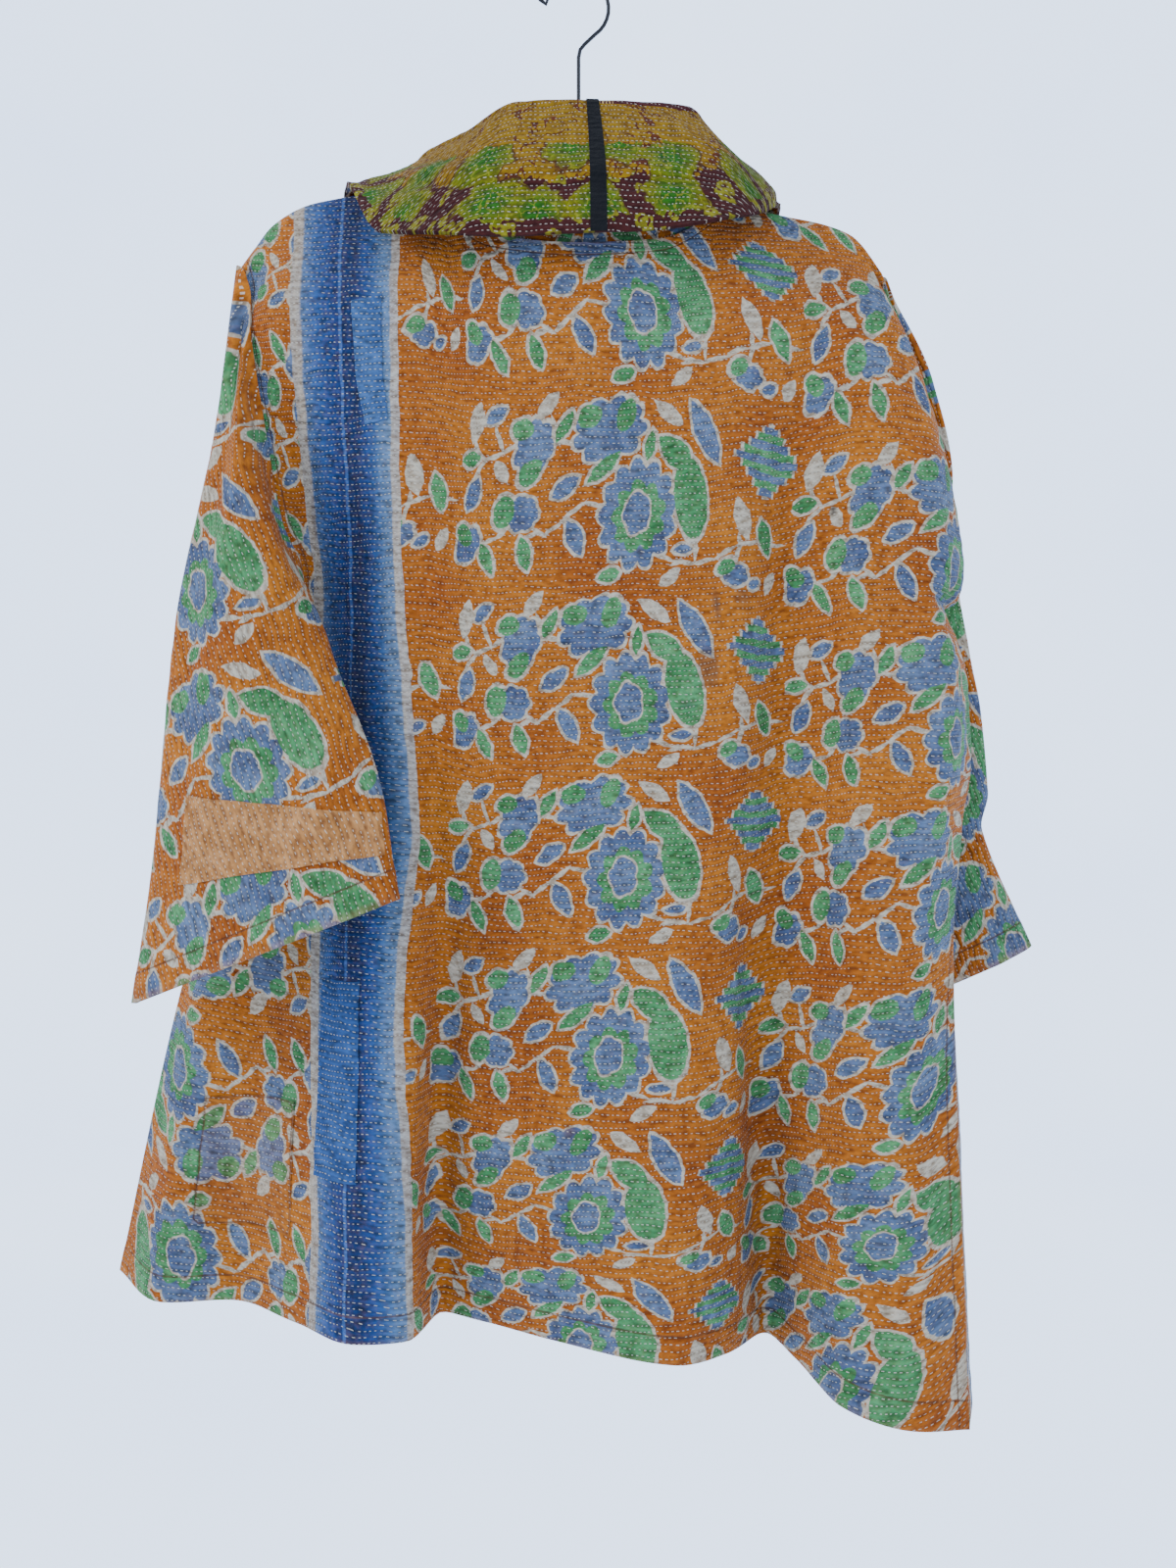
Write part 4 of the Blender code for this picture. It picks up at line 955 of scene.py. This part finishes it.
# %% The reverse of the quilt
def reverse_quilt(name, zoned):
    made, tree, shader = new_material(name, Roughness=0.92, Specular_IOR_Level=0.12, Sheen_Weight=0.02)
    cloth, fold_place, edges = cloth_places(tree)
    wander = add(tree, "TexNoise", {"Vector": cloth, "Scale": 0.09, "Detail": 3.0})
    shift = add(tree, "VectorMath", {0: wander.outputs["Color"], 1: (0.5, 0.5, 0.5)}, operation="SUBTRACT")
    moved = add(tree, "VectorMath", {0: shift, 1: (16, 16, 0), 2: cloth}, operation="MULTIPLY_ADD")
    place = add(tree, "VectorMath", {0: moved, 1: (1, 1, 0)}, operation="MULTIPLY")
    big = add(tree, "TexVoronoi", {"Vector": place, "Scale": 1 / 46, "Randomness": 0.6},
              voronoi_dimensions="2D")
    petals = add(tree, "TexVoronoi", {"Vector": place, "Scale": 1 / 15}, voronoi_dimensions="2D")
    veins = add(tree, "TexVoronoi", {"Vector": place, "Scale": 1 / 7}, feature="DISTANCE_TO_EDGE",
                voronoi_dimensions="2D")
    curls = add(tree, "TexNoise", {"Vector": place, "Scale": 0.085, "Detail": 1.0})
    reach = half(tree, "MULTIPLY_ADD", petals.outputs["Distance"], 0.16, big.outputs["Distance"])
    if zoned:
        from_edge = half(tree, "SUBTRACT", edges.outputs[0], 13.0)
        zone = half(tree, "MULTIPLY_ADD", wander.outputs["Fac"], 26.0, from_edge)
    else:
        zone = half(tree, "MULTIPLY_ADD", wander.outputs["Fac"], 110.0, -5.0)
    mustard = mixed(tree, curls.outputs["Fac"], linear("5F4300"), linear("7F5F06"))
    curl = half(tree, "ABSOLUTE", half(tree, "SUBTRACT", curls.outputs["Fac"], 0.5))
    sprig = half(tree, "LESS_THAN", curl, 0.02)
    bunch = add(tree, "TexNoise", {"Vector": place, "Scale": 0.028, "Detail": 1.0})
    sprig = half(tree, "MULTIPLY", sprig, half(tree, "GREATER_THAN", bunch.outputs["Fac"], 0.47))
    colour = mixed(tree, half(tree, "MULTIPLY", sprig, 0.9), mustard, linear("431409"))
    ground = half(tree, "LESS_THAN", zone, 40.0)
    colour = mixed(tree, ground, colour, linear("34110E"))
    small = inside(tree, petals.outputs["Distance"], 0.30, 0.03)
    colour = mixed(tree, half(tree, "MULTIPLY", small, ground), colour, linear("6A6410"))
    eye = half(tree, "MULTIPLY", inside(tree, petals.outputs["Distance"], 0.10, 0.03), ground)
    colour = mixed(tree, eye, colour, linear("3A120C"))
    band = half(tree, "MULTIPLY", half(tree, "LESS_THAN", zone, 66.0), half(tree, "GREATER_THAN", zone, 10.0))
    outline = half(tree, "MULTIPLY", inside(tree, reach, 0.535, 0.02), band)
    colour = mixed(tree, outline, colour, linear("38140C"))
    deep = add(tree, "MapRange", {0: big.outputs["Distance"], 1: 0.42, 2: 0.12})
    leafy = mixed(tree, deep, linear("585600"), linear("1C4C08"))
    fill = half(tree, "MULTIPLY", inside(tree, reach, 0.50, 0.02), band)
    colour = mixed(tree, fill, colour, leafy)
    vein = half(tree, "MULTIPLY", inside(tree, veins.outputs["Distance"], 0.05, 0.02), fill)
    colour = mixed(tree, half(tree, "MULTIPLY", vein, 0.6), colour, linear("77731A"))
    if zoned:
        colour = border_band(tree, fold_place, colour)
    shown, height = stitched(tree, cloth)
    colour = quilted_colour(tree, colour, shown, height)
    finish_quilt(tree, shader, colour, height)
    print(name, len(tree.nodes), "nodes")
    return made


# %% Plain cottons, the tape and the wire
def plain_cotton(name, code, paler, stitches=True):
    made, tree, shader = new_material(name, Roughness=0.93, Specular_IOR_Level=0.2)
    cloth, _, _ = cloth_places(tree)
    clouds = add(tree, "TexNoise", {"Vector": cloth, "Scale": 0.06, "Detail": 5.0})
    even = add(tree, "MapRange", {0: clouds.outputs["Fac"], 1: 0.35, 2: 0.65})
    colour = mixed(tree, even, linear(code), linear(paler))
    shown, height = stitched(tree, cloth)
    if stitches:
        colour = quilted_colour(tree, colour, shown, height)
    finish_quilt(tree, shader, colour, height)
    return made


def black_wire():
    made, tree, shader = new_material("black_wire", Metallic=0.0, Specular_IOR_Level=0.2)
    coords = add(tree, "TexCoord")
    marks = add(tree, "TexNoise", {"Vector": coords.outputs["Object"], "Scale": 260.0, "Detail": 3.0})
    shine = add(tree, "MapRange", {0: marks.outputs["Fac"], 3: 0.28, 4: 0.48})
    tone = mixed(tree, marks.outputs["Fac"], linear("030304"), linear("0D0D10"))
    tree.links.new(shine.outputs[0], shader.inputs["Roughness"])
    tree.links.new(tone, shader.inputs["Base Color"])
    return made


STAINS = [
    ((268.0, 366.0), (7.5, 13.0), 0.55, "4A3426"), ((279.0, 322.0), (1.6, 6.0), 0.7, "3A302A"),
    ((299.0, 318.0), (5.0, 5.0), 0.35, "4A3A2C"), ((376.0, 266.0), (1.5, 2.6), 0.85, "241A16"),
    ((180.0, 690.0), (3.0, 3.6), 0.5, "5B3A22"), ((8.0, 627.0), (3.4, 3.0), 0.75, "1C2A50"),
    ((250.0, 391.0), (4.0, 2.0), 0.6, "2C3A30"),
]
face = printed_quilt("old_printed_cotton", stains=STAINS)
worn_face = printed_quilt("worn_printed_cotton", worn=0.12)
lining_print = reverse_quilt("reverse_printed_cotton", zoned=False)
collar_print = reverse_quilt("collar_printed_cotton", zoned=True)
patch_blue = plain_cotton("blue_patch_cotton", "1D375F", "2C4A75")
patch_pale = plain_cotton("pale_patch_cotton", "29446B", "3A587F")
tape = plain_cotton("black_cotton_tape", "020203", "060607", stitches=False)
patch_tan = plain_cotton("tan_patch_cotton", "8C5A2A", "A37242")
wire = black_wire()

# %% [markdown]
# The back, the piece that we look at. Its cloth place is measured from the raised join in the middle of the
# stripe, whose line we know at a few heights, so that stripe runs straight on the cloth however it folds. The
# print is placed by its own big flowers, down the middle of the back: it was printed a little askew.

# %% The back's cloth and print
STRIPE_JOIN = [  # height, then how far across the join hangs there
    (-1.050, (-0.158,)), (-0.993, (-0.1586,)), (-0.911, (-0.1600,)), (-0.776, (-0.1632,)), (-0.600, (-0.1645,)),
    (-0.4625, (-0.1657,)), (-0.330, (-0.1690,)), (-0.185, (-0.1736,)),
]
STRIPE_CREAM = [  # the same for the edge where the cream begins, right of the join
    (-1.050, (-0.1165,)), (-0.993, (-0.1173,)), (-0.933, (-0.1194,)), (-0.789, (-0.1280,)),
    (-0.745, (-0.1266,)), (-0.700, (-0.1215,)), (-0.651, (-0.1175,)), (-0.588, (-0.1222,)),
    (-0.448, (-0.1308,)), (-0.213, (-0.1358,)),
]
CREAM_FROM_JOIN = 0.035
BIG_FLOWERS = [
    (0.0482, -0.267), (0.0466, -0.4125), (0.0396, -0.547), (0.0361, -0.6715), (0.0220, -0.795),
    (0.0102, -0.909), (0.0013, -1.008),
]


def metres_of_cloth(grid, join):
    """Cloth across from the join of the stripe, and cloth down from a level line near the shoulders."""
    across, down = arc_across(grid), arc_down(grid)
    for row, points in enumerate(grid):
        at = through(join, points[:, 2].mean())[0, 0]
        order = np.argsort(points[:, 0])
        across[row] -= np.interp(at, points[order, 0], across[row, order])
    return np.stack([across, down + (LEVEL - grid[:1, :, 2])], axis=2)


def stripe_of_cloth(grid, cloth):
    """The cloth places again, the stripe's right half drawn in or out to bring its cream edge into place."""
    cloth = cloth.copy()
    for row, points in enumerate(grid):
        order = np.argsort(points[:, 0])
        at = np.interp(through(STRIPE_CREAM, points[:, 2].mean())[0, 0], points[order, 0], cloth[row, order, 0])
        across = cloth[row, :, 0]
        cream = CREAM_FROM_JOIN
        cloth[row, :, 0] = np.interp(across, (-1.0, 0.0, at, at + 1.0), (-1.0, 0.0, cream, cream + 1.0))
    return cloth


def print_of_back(grid, cloth):
    """Where each point of the back is in the print: rows by the big flowers, turned left of the stripe."""
    stops = []
    for row, (x, z) in enumerate(BIG_FLOWERS):
        r, c = np.unravel_index(np.argmin((grid[..., 0] - x) ** 2 + (grid[..., 2] - z) ** 2), grid.shape[:2])
        stops.append((cloth[r, c, 1], (cloth[r, c, 0], row * REPEAT_TALL / 1000)))
    first, last = stops[0], stops[-1]
    stops.insert(0, (first[0] - 0.14, (first[1][0] + 0.003, first[1][1] - 0.13)))
    stops.append((last[0] + 0.13, (last[1][0] - 0.010, last[1][1] + 0.13)))
    guides = through(stops, cloth[..., 1].ravel()).reshape(*cloth.shape[:2], 2)
    across, down = cloth[..., 0] - guides[..., 0], guides[..., 1]
    sag = 0.024 / (1 + np.exp(-(cloth[..., 0] - 0.335) / 0.02))
    right = np.stack([across, sag - down], axis=2)
    left = np.stack([-cloth[..., 0] - 0.155, cloth[..., 1] - 0.035], axis=2)
    return np.where(cloth[..., :1] > 0, right, left)


back_across, back_down = np.linspace(0, 1, 151), np.linspace(0, 1, 205) ** 1.1
back = back_grid(back_across, back_down)
back_cloth = metres_of_cloth(back, STRIPE_JOIN)
back_print = print_of_back(back, back_cloth)
back_cloth = stripe_of_cloth(back, back_cloth)
flat_print = back_print.reshape(-1, 2)
print("print across the back from", flat_print.min(0).round(3), "to", flat_print.max(0).round(3))

# %% The back's creases: as seen from behind, line, half width, depth (outwards is more than 0)
BACK_CREASES = [
    ([(0.188, -0.245), (0.178, -0.270), (0.160, -0.330), (0.147, -0.390), (0.142, -0.480), (0.140, -0.60)],
     0.010, -0.0042),
    ([(0.205, -0.262), (0.192, -0.300), (0.176, -0.360), (0.166, -0.430)], 0.009, 0.0030),
    ([(0.236, -0.300), (0.215, -0.285), (0.198, -0.262)], 0.006, -0.0022),
    ([(0.252, -0.345), (0.226, -0.322), (0.204, -0.300)], 0.007, 0.0020),
    ([(0.262, -0.400), (0.236, -0.372), (0.212, -0.352)], 0.007, -0.0020),
    ([(0.268, -0.455), (0.244, -0.440), (0.214, -0.436)], 0.008, 0.0018),
    ([(-0.206, -0.300), (-0.200, -0.380), (-0.193, -0.450), (-0.182, -0.540)], 0.011, -0.0070),
    ([(-0.190, -0.250), (-0.184, -0.330), (-0.176, -0.420)], 0.007, 0.0016),
    ([(-0.150, -0.222), (-0.100, -0.234), (-0.050, -0.240)], 0.008, -0.0016),
    ([(-0.090, -0.700), (-0.095, -0.800), (-0.100, -0.900), (-0.098, -1.000)], 0.012, -0.0075),
    ([(-0.128, -0.760), (-0.133, -0.860), (-0.138, -0.960)], 0.012, 0.0050),
    ([(0.120, -0.640), (0.128, -0.780), (0.134, -0.900), (0.138, -0.990)], 0.012, -0.0070),
    ([(0.214, -0.560), (0.205, -0.700), (0.200, -0.860)], 0.015, 0.0050),
    ([(0.060, -0.500), (0.066, -0.640), (0.062, -0.780)], 0.016, -0.0034),
    ([(-0.020, -0.620), (-0.030, -0.760), (-0.042, -0.900)], 0.016, -0.0040),
    ([(-0.250, -0.800), (-0.262, -0.880), (-0.270, -0.960)], 0.012, -0.0028),
    ([(0.258, -0.620), (0.246, -0.700), (0.242, -0.800), (0.246, -0.940)], 0.009, -0.0020),
    ([(-0.166, -0.240), (-0.167, -0.420), (-0.160, -0.600), (-0.158, -0.760), (-0.152, -0.940)],
     0.0022, 0.0007),
]


def dressed(grid, closed, creases, cloth, seed, side, calm=None, size=0.0009):
    """The grid with its creases and ripples, moved along its normals; side is the way that they face."""
    normals = normals_of(grid, closed)
    outwards = np.sign((normals * side).sum(axis=2, keepdims=True).mean())
    move = ripples(cloth, seed, size)
    seen = grid[..., [0, 2]]
    for line, width, depth in creases:
        move = move + crease(seen, line, width, depth)
    if calm is not None:
        move = move * calm
    return grid + normals * outwards * move[..., None]


def calm_at(*distances, reach=0.012):
    """0 at a seam and 1 away from it, so that seams stay where they are."""
    nearest_edge = np.minimum.reduce([np.abs(d) for d in distances])
    return np.clip(nearest_edge / reach, 0, 1) ** 1.5


BEHIND, BEFORE = np.array((0, -1.0, 0)), np.array((0, 1.0, 0))
FAR = 0.5  # stands for an edge with no topstitching near it
from_top, from_left = arc_down(back), arc_across(back)
from_hem, from_right = from_top[-1:] - from_top, from_left[:, -1:] - from_left
side_gap = np.where(back_down[:, None] < UNDERARM_V, np.minimum(from_left, from_right), from_right)
at_neck = np.abs(back[:1, :, 0]) < 0.125
back_edges = np.stack([from_hem, side_gap, np.where(at_neck, from_top, FAR)], axis=2)
calm = calm_at(from_left, from_right, from_top)
back_shown = dressed(back, False, BACK_CREASES, back_cloth, 3, BEHIND, calm)
back_piece = make_sheet("cloth_back", back_shown, back_cloth, back_print, back_edges, face, lining_print, QUILT,
                        lambda p: (0, -1, 0), hem=hem_weight(from_hem))
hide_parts("back")
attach(back_piece, "root")

# %% [markdown]
# The fronts hang behind the back here, so the picture shows them only beside it. They are cut from the same
# quilt: each one runs from its side seam to its open edge, over the hanger's arm at the shoulder.

# %% The fronts
FRONT_CREASES = {
    "left": [
        ([(-0.235, -0.330), (-0.190, -0.420), (-0.165, -0.520)], 0.012, 0.0030),
        ([(-0.130, -0.330), (-0.126, -0.560), (-0.128, -0.900)], 0.014, -0.0030),
        ([(-0.060, -0.420), (-0.058, -0.700), (-0.060, -0.960)], 0.013, 0.0028),
        ([(-0.240, -0.620), (-0.262, -0.780), (-0.280, -0.940)], 0.013, -0.0030),
    ],
    "right": [
        ([(0.205, -0.300), (0.170, -0.400), (0.150, -0.500)], 0.012, 0.0030),
        ([(0.130, -0.330), (0.126, -0.560), (0.122, -0.900)], 0.014, -0.0030),
        ([(0.060, -0.420), (0.058, -0.700), (0.062, -0.960)], 0.013, 0.0028),
        ([(0.235, -0.620), (0.232, -0.780), (0.236, -0.960)], 0.013, -0.0026),
    ],
}
for side, turn in (("left", -1), ("right", 1)):
    across, down = np.linspace(0, 1, 91), np.linspace(0, 1, 181) ** 1.1
    grid = front_grid(side, across, down)
    widths, lengths = arc_across(grid), arc_down(grid)
    cloth = np.stack([turn * (0.9 - widths), lengths + (LEVEL - grid[:1, :, 2])], axis=2)
    if side == "right":
        cloth[..., 0] = 0.052 - widths
    printed = np.stack([turn * widths + 0.05, -cloth[..., 1] + 0.02], axis=2)
    from_hem, from_top = lengths[-1:] - lengths, lengths
    to_open = widths[:, -1:] - widths
    edges = np.stack([from_hem, np.minimum(widths + 0.004, to_open), np.full_like(widths, FAR)], axis=2)
    calm = calm_at(widths, from_top)
    shown = dressed(grid, False, FRONT_CREASES[side], cloth, 17 + turn, BEFORE, calm)
    hem = np.maximum(hem_weight(from_hem), hem_weight(to_open, 0.012))
    piece = make_sheet(f"cloth_front_{side}", shown, cloth, printed, edges, face, lining_print, QUILT,
                       lambda p: (0, 1, 0), hem=hem)
    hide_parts(f"front_{side}")
    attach(piece, "root")

# %% [markdown]
# The sleeves are flat tubes. Each was cut with its cuff along the grain, so print and cuff run the same way
# while the sleeve hangs askew. The rows of stitches run the long way, from the shoulder to the cuff.

# %% The sleeves
SLEEVE_GRAIN = math.radians(20.5)  # how far the cuff's line rises to the right, seen from behind
SLEEVE_PRINT = {"left": (-0.2210, -0.5960), "right": (0.345, -0.7350)}  # the middle of one big flower
SLEEVE_CREASES = {
    "left": [
        ([(-0.240, -0.240), (-0.236, -0.300), (-0.226, -0.380), (-0.214, -0.460)], 0.007, -0.0024),
        ([(-0.226, -0.330), (-0.232, -0.440), (-0.236, -0.560)], 0.013, 0.0032),
        ([(-0.200, -0.470), (-0.206, -0.560), (-0.196, -0.640)], 0.012, -0.0030),
        ([(-0.290, -0.620), (-0.252, -0.600), (-0.214, -0.575)], 0.012, 0.0022),
        ([(-0.300, -0.690), (-0.250, -0.664), (-0.196, -0.640)], 0.010, -0.0018),
        ([(-0.270, -0.470), (-0.262, -0.540), (-0.262, -0.620)], 0.010, -0.0022),
        ([(-0.160, -0.560), (-0.172, -0.620), (-0.180, -0.690)], 0.012, 0.0026),
    ],
    "right": [
        ([(0.272, -0.560), (0.292, -0.574), (0.306, -0.580)], 0.008, -0.0030),
        ([(0.270, -0.640), (0.292, -0.652), (0.312, -0.656)], 0.009, -0.0028),
        ([(0.268, -0.600), (0.290, -0.612), (0.312, -0.616)], 0.009, 0.0024),
        ([(0.300, -0.690), (0.318, -0.720), (0.330, -0.750)], 0.010, 0.0022),
    ],
}
AROUND = 136  # columns of points round a sleeve
MID_BACK = AROUND // 4
sleeve_pieces, sleeve_data = {}, {}
cosine, sine = math.cos(SLEEVE_GRAIN), math.sin(SLEEVE_GRAIN)
for side, over_turn in (("left", 1), ("right", -1)):
    around, down = np.linspace(0, 1, AROUND + 1)[:-1], np.linspace(0, 1, 141)
    grid = sleeve_grid(side, around, down)
    joined = np.concatenate([grid, grid[:, :1]], axis=1)
    along_cuff = joined[..., 0] * cosine + joined[..., 2] * sine
    up = joined[..., 2] * cosine - joined[..., 0] * sine
    x0, z0 = SLEEVE_PRINT[side]
    start, height = x0 * cosine + z0 * sine, z0 * cosine - x0 * sine
    faces_back = (np.arange(AROUND) < AROUND // 2)[None, :, None, None]
    round_steps = np.hypot(np.diff(along_cuff, axis=1), np.diff(joined[..., 1], axis=1))
    unrolled = np.concatenate([np.zeros((len(down), 1)), np.cumsum(round_steps, axis=1)], axis=1)
    turn = np.sign((along_cuff[:, MID_BACK + 16] - along_cuff[:, MID_BACK - 16]).mean())
    from_middle = unrolled - unrolled[:, MID_BACK, None]
    ways = [along_cuff[:, MID_BACK, None] + turn * (from_middle - whole) for whole in (0, unrolled[:, -1:])]
    flat_back, flat_front = [np.stack([-up + 2.0, along], axis=2) for along in ways]
    cloth = np.where(faces_back, pairs(flat_back), pairs(flat_front))
    print_back, print_front = [np.stack([along - start, up - height], axis=2) for along in ways]
    printed = np.where(faces_back, pairs(print_back), pairs(print_front))
    lengths = arc_down(joined)
    from_cuff, from_armhole = lengths[-1:] - lengths, lengths
    edges = np.stack([from_cuff - 0.003, from_armhole + FAR, np.full_like(lengths, FAR)], axis=2)
    from_cuff, from_armhole = from_cuff[:, :-1], from_armhole[:, :-1]
    calm = calm_at(from_armhole, reach=0.03)
    shown = dressed(grid, True, [], flat_back[:, :-1], 29 + over_turn, BEHIND, calm, 0.0007)
    seen = grid[..., [0, 2]]
    back_side = np.clip(np.sin(2 * math.pi * around) * 2.5, 0, 1)[None, :]
    for line, width, depth in SLEEVE_CREASES[side]:
        amount = crease(seen, line, width, depth) * back_side * calm
        shown = shown + amount[..., None] * np.array((0, -1.0, 0))
    on_back, on_front = [np.clip(np.sin(2 * math.pi * around) * way, 0, 1)[:, None] for way in (4, -4)]
    if side == "left":
        lap = on_back * np.array((0.0042, 0, 0)) + on_front * np.array((0, 0.0050, 0))
    else:
        lap = (on_back + on_front) * np.array((0, -0.0050, 0))
    for row, part_of in enumerate((1.0, 0.75, 0.5, 0.25, 0.1)):
        shown[row] += lap * part_of
    middle = grid.mean(axis=1)

    def away(p, rows=middle):
        centre = rows[np.argmin(np.abs(rows[:, 2] - p[2]))]
        return (p[0] - centre[0], p[1] - centre[1], 0)

    piece = make_sheet(f"cloth_sleeve_{side}", shown, cloth, printed, edges, face, lining_print, QUILT,
                       away, closed=True, hem=hem_weight(from_cuff, 0.022))
    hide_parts(f"sleeve_{side}")
    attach(piece, "root")
    sleeve_pieces[side], sleeve_data[side] = piece, (around, down, shown, flat_back, print_back)

# %% [markdown]
# The collar is one long strip, sewn to the neck and folded over, so the reverse of the quilt shows on its fall
# and the orange face on the stand under it. Its top edge is soft, with a crease where the fall bends.

# %% The collar
COLLAR_STEPS = 240
places = np.linspace(0, 1, COLLAR_STEPS + 1)
collar = np.stack([collar_section(place) for place in places], axis=1)
widths, lengths = arc_across(collar), arc_down(collar)
mid_fall = STAND_ROWS + ROLL_ROWS + 11
fall_widths = np.broadcast_to(widths[mid_fall], widths.shape)
collar_cloth = np.stack([fall_widths + 3.0, lengths], axis=2)
tape_column = round((TAPE_AT[0] + TAPE_AT[1]) / 2 * COLLAR_STEPS)
from_tape = fall_widths - fall_widths[:, tape_column, None]
collar_printed = np.stack([from_tape, lengths - lengths[FOLD_ROW]], axis=2)
from_edge = lengths[-1:] - lengths
collar_edges = np.stack([from_edge, np.full_like(widths, FAR), np.full_like(widths, FAR)], axis=2)
COLLAR_CREASES = [
    ([(-0.150, -0.176), (-0.080, -0.186), (0.000, -0.188), (0.060, -0.184), (0.110, -0.176)], 0.0050, -0.0026),
    ([(-0.150, -0.164), (-0.080, -0.172), (0.000, -0.174), (0.080, -0.170)], 0.0060, 0.0016),
    ([(-0.120, -0.150), (-0.090, -0.160), (-0.060, -0.165)], 0.0060, -0.0018),
    ([(0.050, -0.130), (0.082, -0.145), (0.110, -0.160)], 0.0060, 0.0018),
    ([(-0.060, -0.205), (-0.020, -0.212), (0.020, -0.212)], 0.0060, 0.0014),
]
calm = calm_at(lengths, reach=0.03)
waves = 0.0022 * np.sin(widths * 62.0) * np.clip(1 - from_edge / 0.03, 0, 1) ** 2
collar_normals = normals_of(collar, False)
outwards = np.sign((collar_normals[-10:] * (collar[-10:] - collar[:1])).sum(axis=2, keepdims=True).mean())
move = ripples(collar_cloth, 41, 0.0012, 0.026, 0.009) + waves
seen = collar[..., [0, 2]]
behind = (collar[..., 1] < -0.02) & (np.arange(len(collar))[:, None] > FOLD_ROW + 1)
for line, width, depth in COLLAR_CREASES:
    move = move + crease(seen, line, width, depth) * behind
collar_shown = collar + collar_normals * outwards * (move * calm)[..., None]
collar_shown[0, :, 2] -= 0.0035
collar_piece = make_sheet("cloth_collar", collar_shown, collar_cloth, collar_printed, collar_edges, collar_print,
                          face, QUILT, lambda p: (p[0], p[1] - 0.01, 0) if p[2] < -0.15 else (0, 0, 0.0001),
                          hem=hem_weight(from_edge, 0.008))
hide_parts("collar")
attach(collar_piece, "root")

# %% [markdown]
# Small pieces laid on the quilt: the black tape over the collar's join, and four patches. Each is made from the
# points of the cloth under it, moved out by half of both thicknesses, so it follows every fold.

# %% Tape and patches
def laid_on(name, under, inside_of, cloth, printed, finish, cut, thick=PATCH, wobble=0.0):
    """A thin piece on the surface that a grid gives, with the outline of its cut a little uneven."""
    rows, columns = cut
    grid = under[np.ix_(rows, columns)]
    out = inside_of[np.ix_(rows, columns)]
    lift = QUILT / 2 + SEAM_GAP * 0.6 + thick / 2
    piece = grid + out * lift
    if wobble:
        size = np.array([[noise.noise(Vector((p[0] * 40, p[2] * 40, 7))) for p in row] for row in piece])
        piece[0, :, 2] += size[0] * wobble
        piece[-1, :, 2] += size[-1] * wobble
        piece[:, 0, 0] += size[:, 0] * wobble
        piece[:, -1, 0] += size[:, -1] * wobble
    lengths, widths = arc_down(piece), arc_across(piece)
    rim = np.minimum(np.minimum(lengths, lengths[-1:] - lengths), np.minimum(widths, widths[:, -1:] - widths))
    edges = np.stack([rim + 0.017, np.full_like(rim, FAR), np.full_like(rim, FAR)], axis=2)
    middle_out = out.reshape(-1, 3).mean(axis=0)
    made = make_sheet(name, piece, cloth[np.ix_(rows, columns)], printed[np.ix_(rows, columns)], edges, finish,
                      finish, thick, lambda p: tuple(middle_out))
    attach(made, "root")
    return made


def facing(grid, closed, way):
    normals = normals_of(grid, closed)
    return normals * np.sign((normals * way).sum(axis=2, keepdims=True))


def between(values, low, high):
    return [k for k, value in enumerate(values) if low <= value <= high]


back_out = facing(back_shown, False, BEHIND)
BACK_PATCHES = {"patch_blue_low": patch_blue, "patch_blue_high": patch_pale, "patch_orange_low": worn_face}
for name, finish in BACK_PATCHES.items():
    _, wide, tall = PATCHES[name]
    cut = (between(back_down, tall[0] + 0.008, tall[1] - 0.008),
           between(back_across, wide[0] + 0.004, wide[1] - 0.004))
    laid_on(f"cloth_{name}", back_shown, back_out, back_cloth, back_print, finish, cut,
                         wobble=0.0016)
    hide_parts(name)
around, down, shown, cloth, printed = sleeve_data["left"]
_, wide, tall = PATCHES["patch_sleeve"]
cut = (between(down, tall[0] + 0.01, tall[1] - 0.01), between(around, wide[0] + 0.01, wide[1] - 0.01))
sleeve_out = facing(shown, True, BEHIND)
laid_on("cloth_patch_sleeve", shown, sleeve_out, cloth, printed, patch_tan, cut,
                               wobble=0.0014)
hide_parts("patch_sleeve")
tape_places = between(places, TAPE_AT[0] - 0.0005, TAPE_AT[1] + 0.0005)
cut = (list(range(STAND_ROWS + 1, len(collar_shown))), tape_places)
laid_on("cloth_collar_tape", collar_shown, collar_normals * outwards, collar_cloth,
                              collar_printed, tape, cut)
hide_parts("collar_tape")

# %% [markdown]
# The hanger: a bent wire hook that carries it all, and the arms inside the shoulders. Their solids have the
# right shape, so they stay, and only get a better finish: black enamel with small changes of gloss.

# %% The hanger
for name in ("hanger_hook", "hanger_arms"):
    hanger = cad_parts[name]
    for slot in hanger.material_slots:
        slot.material = wire
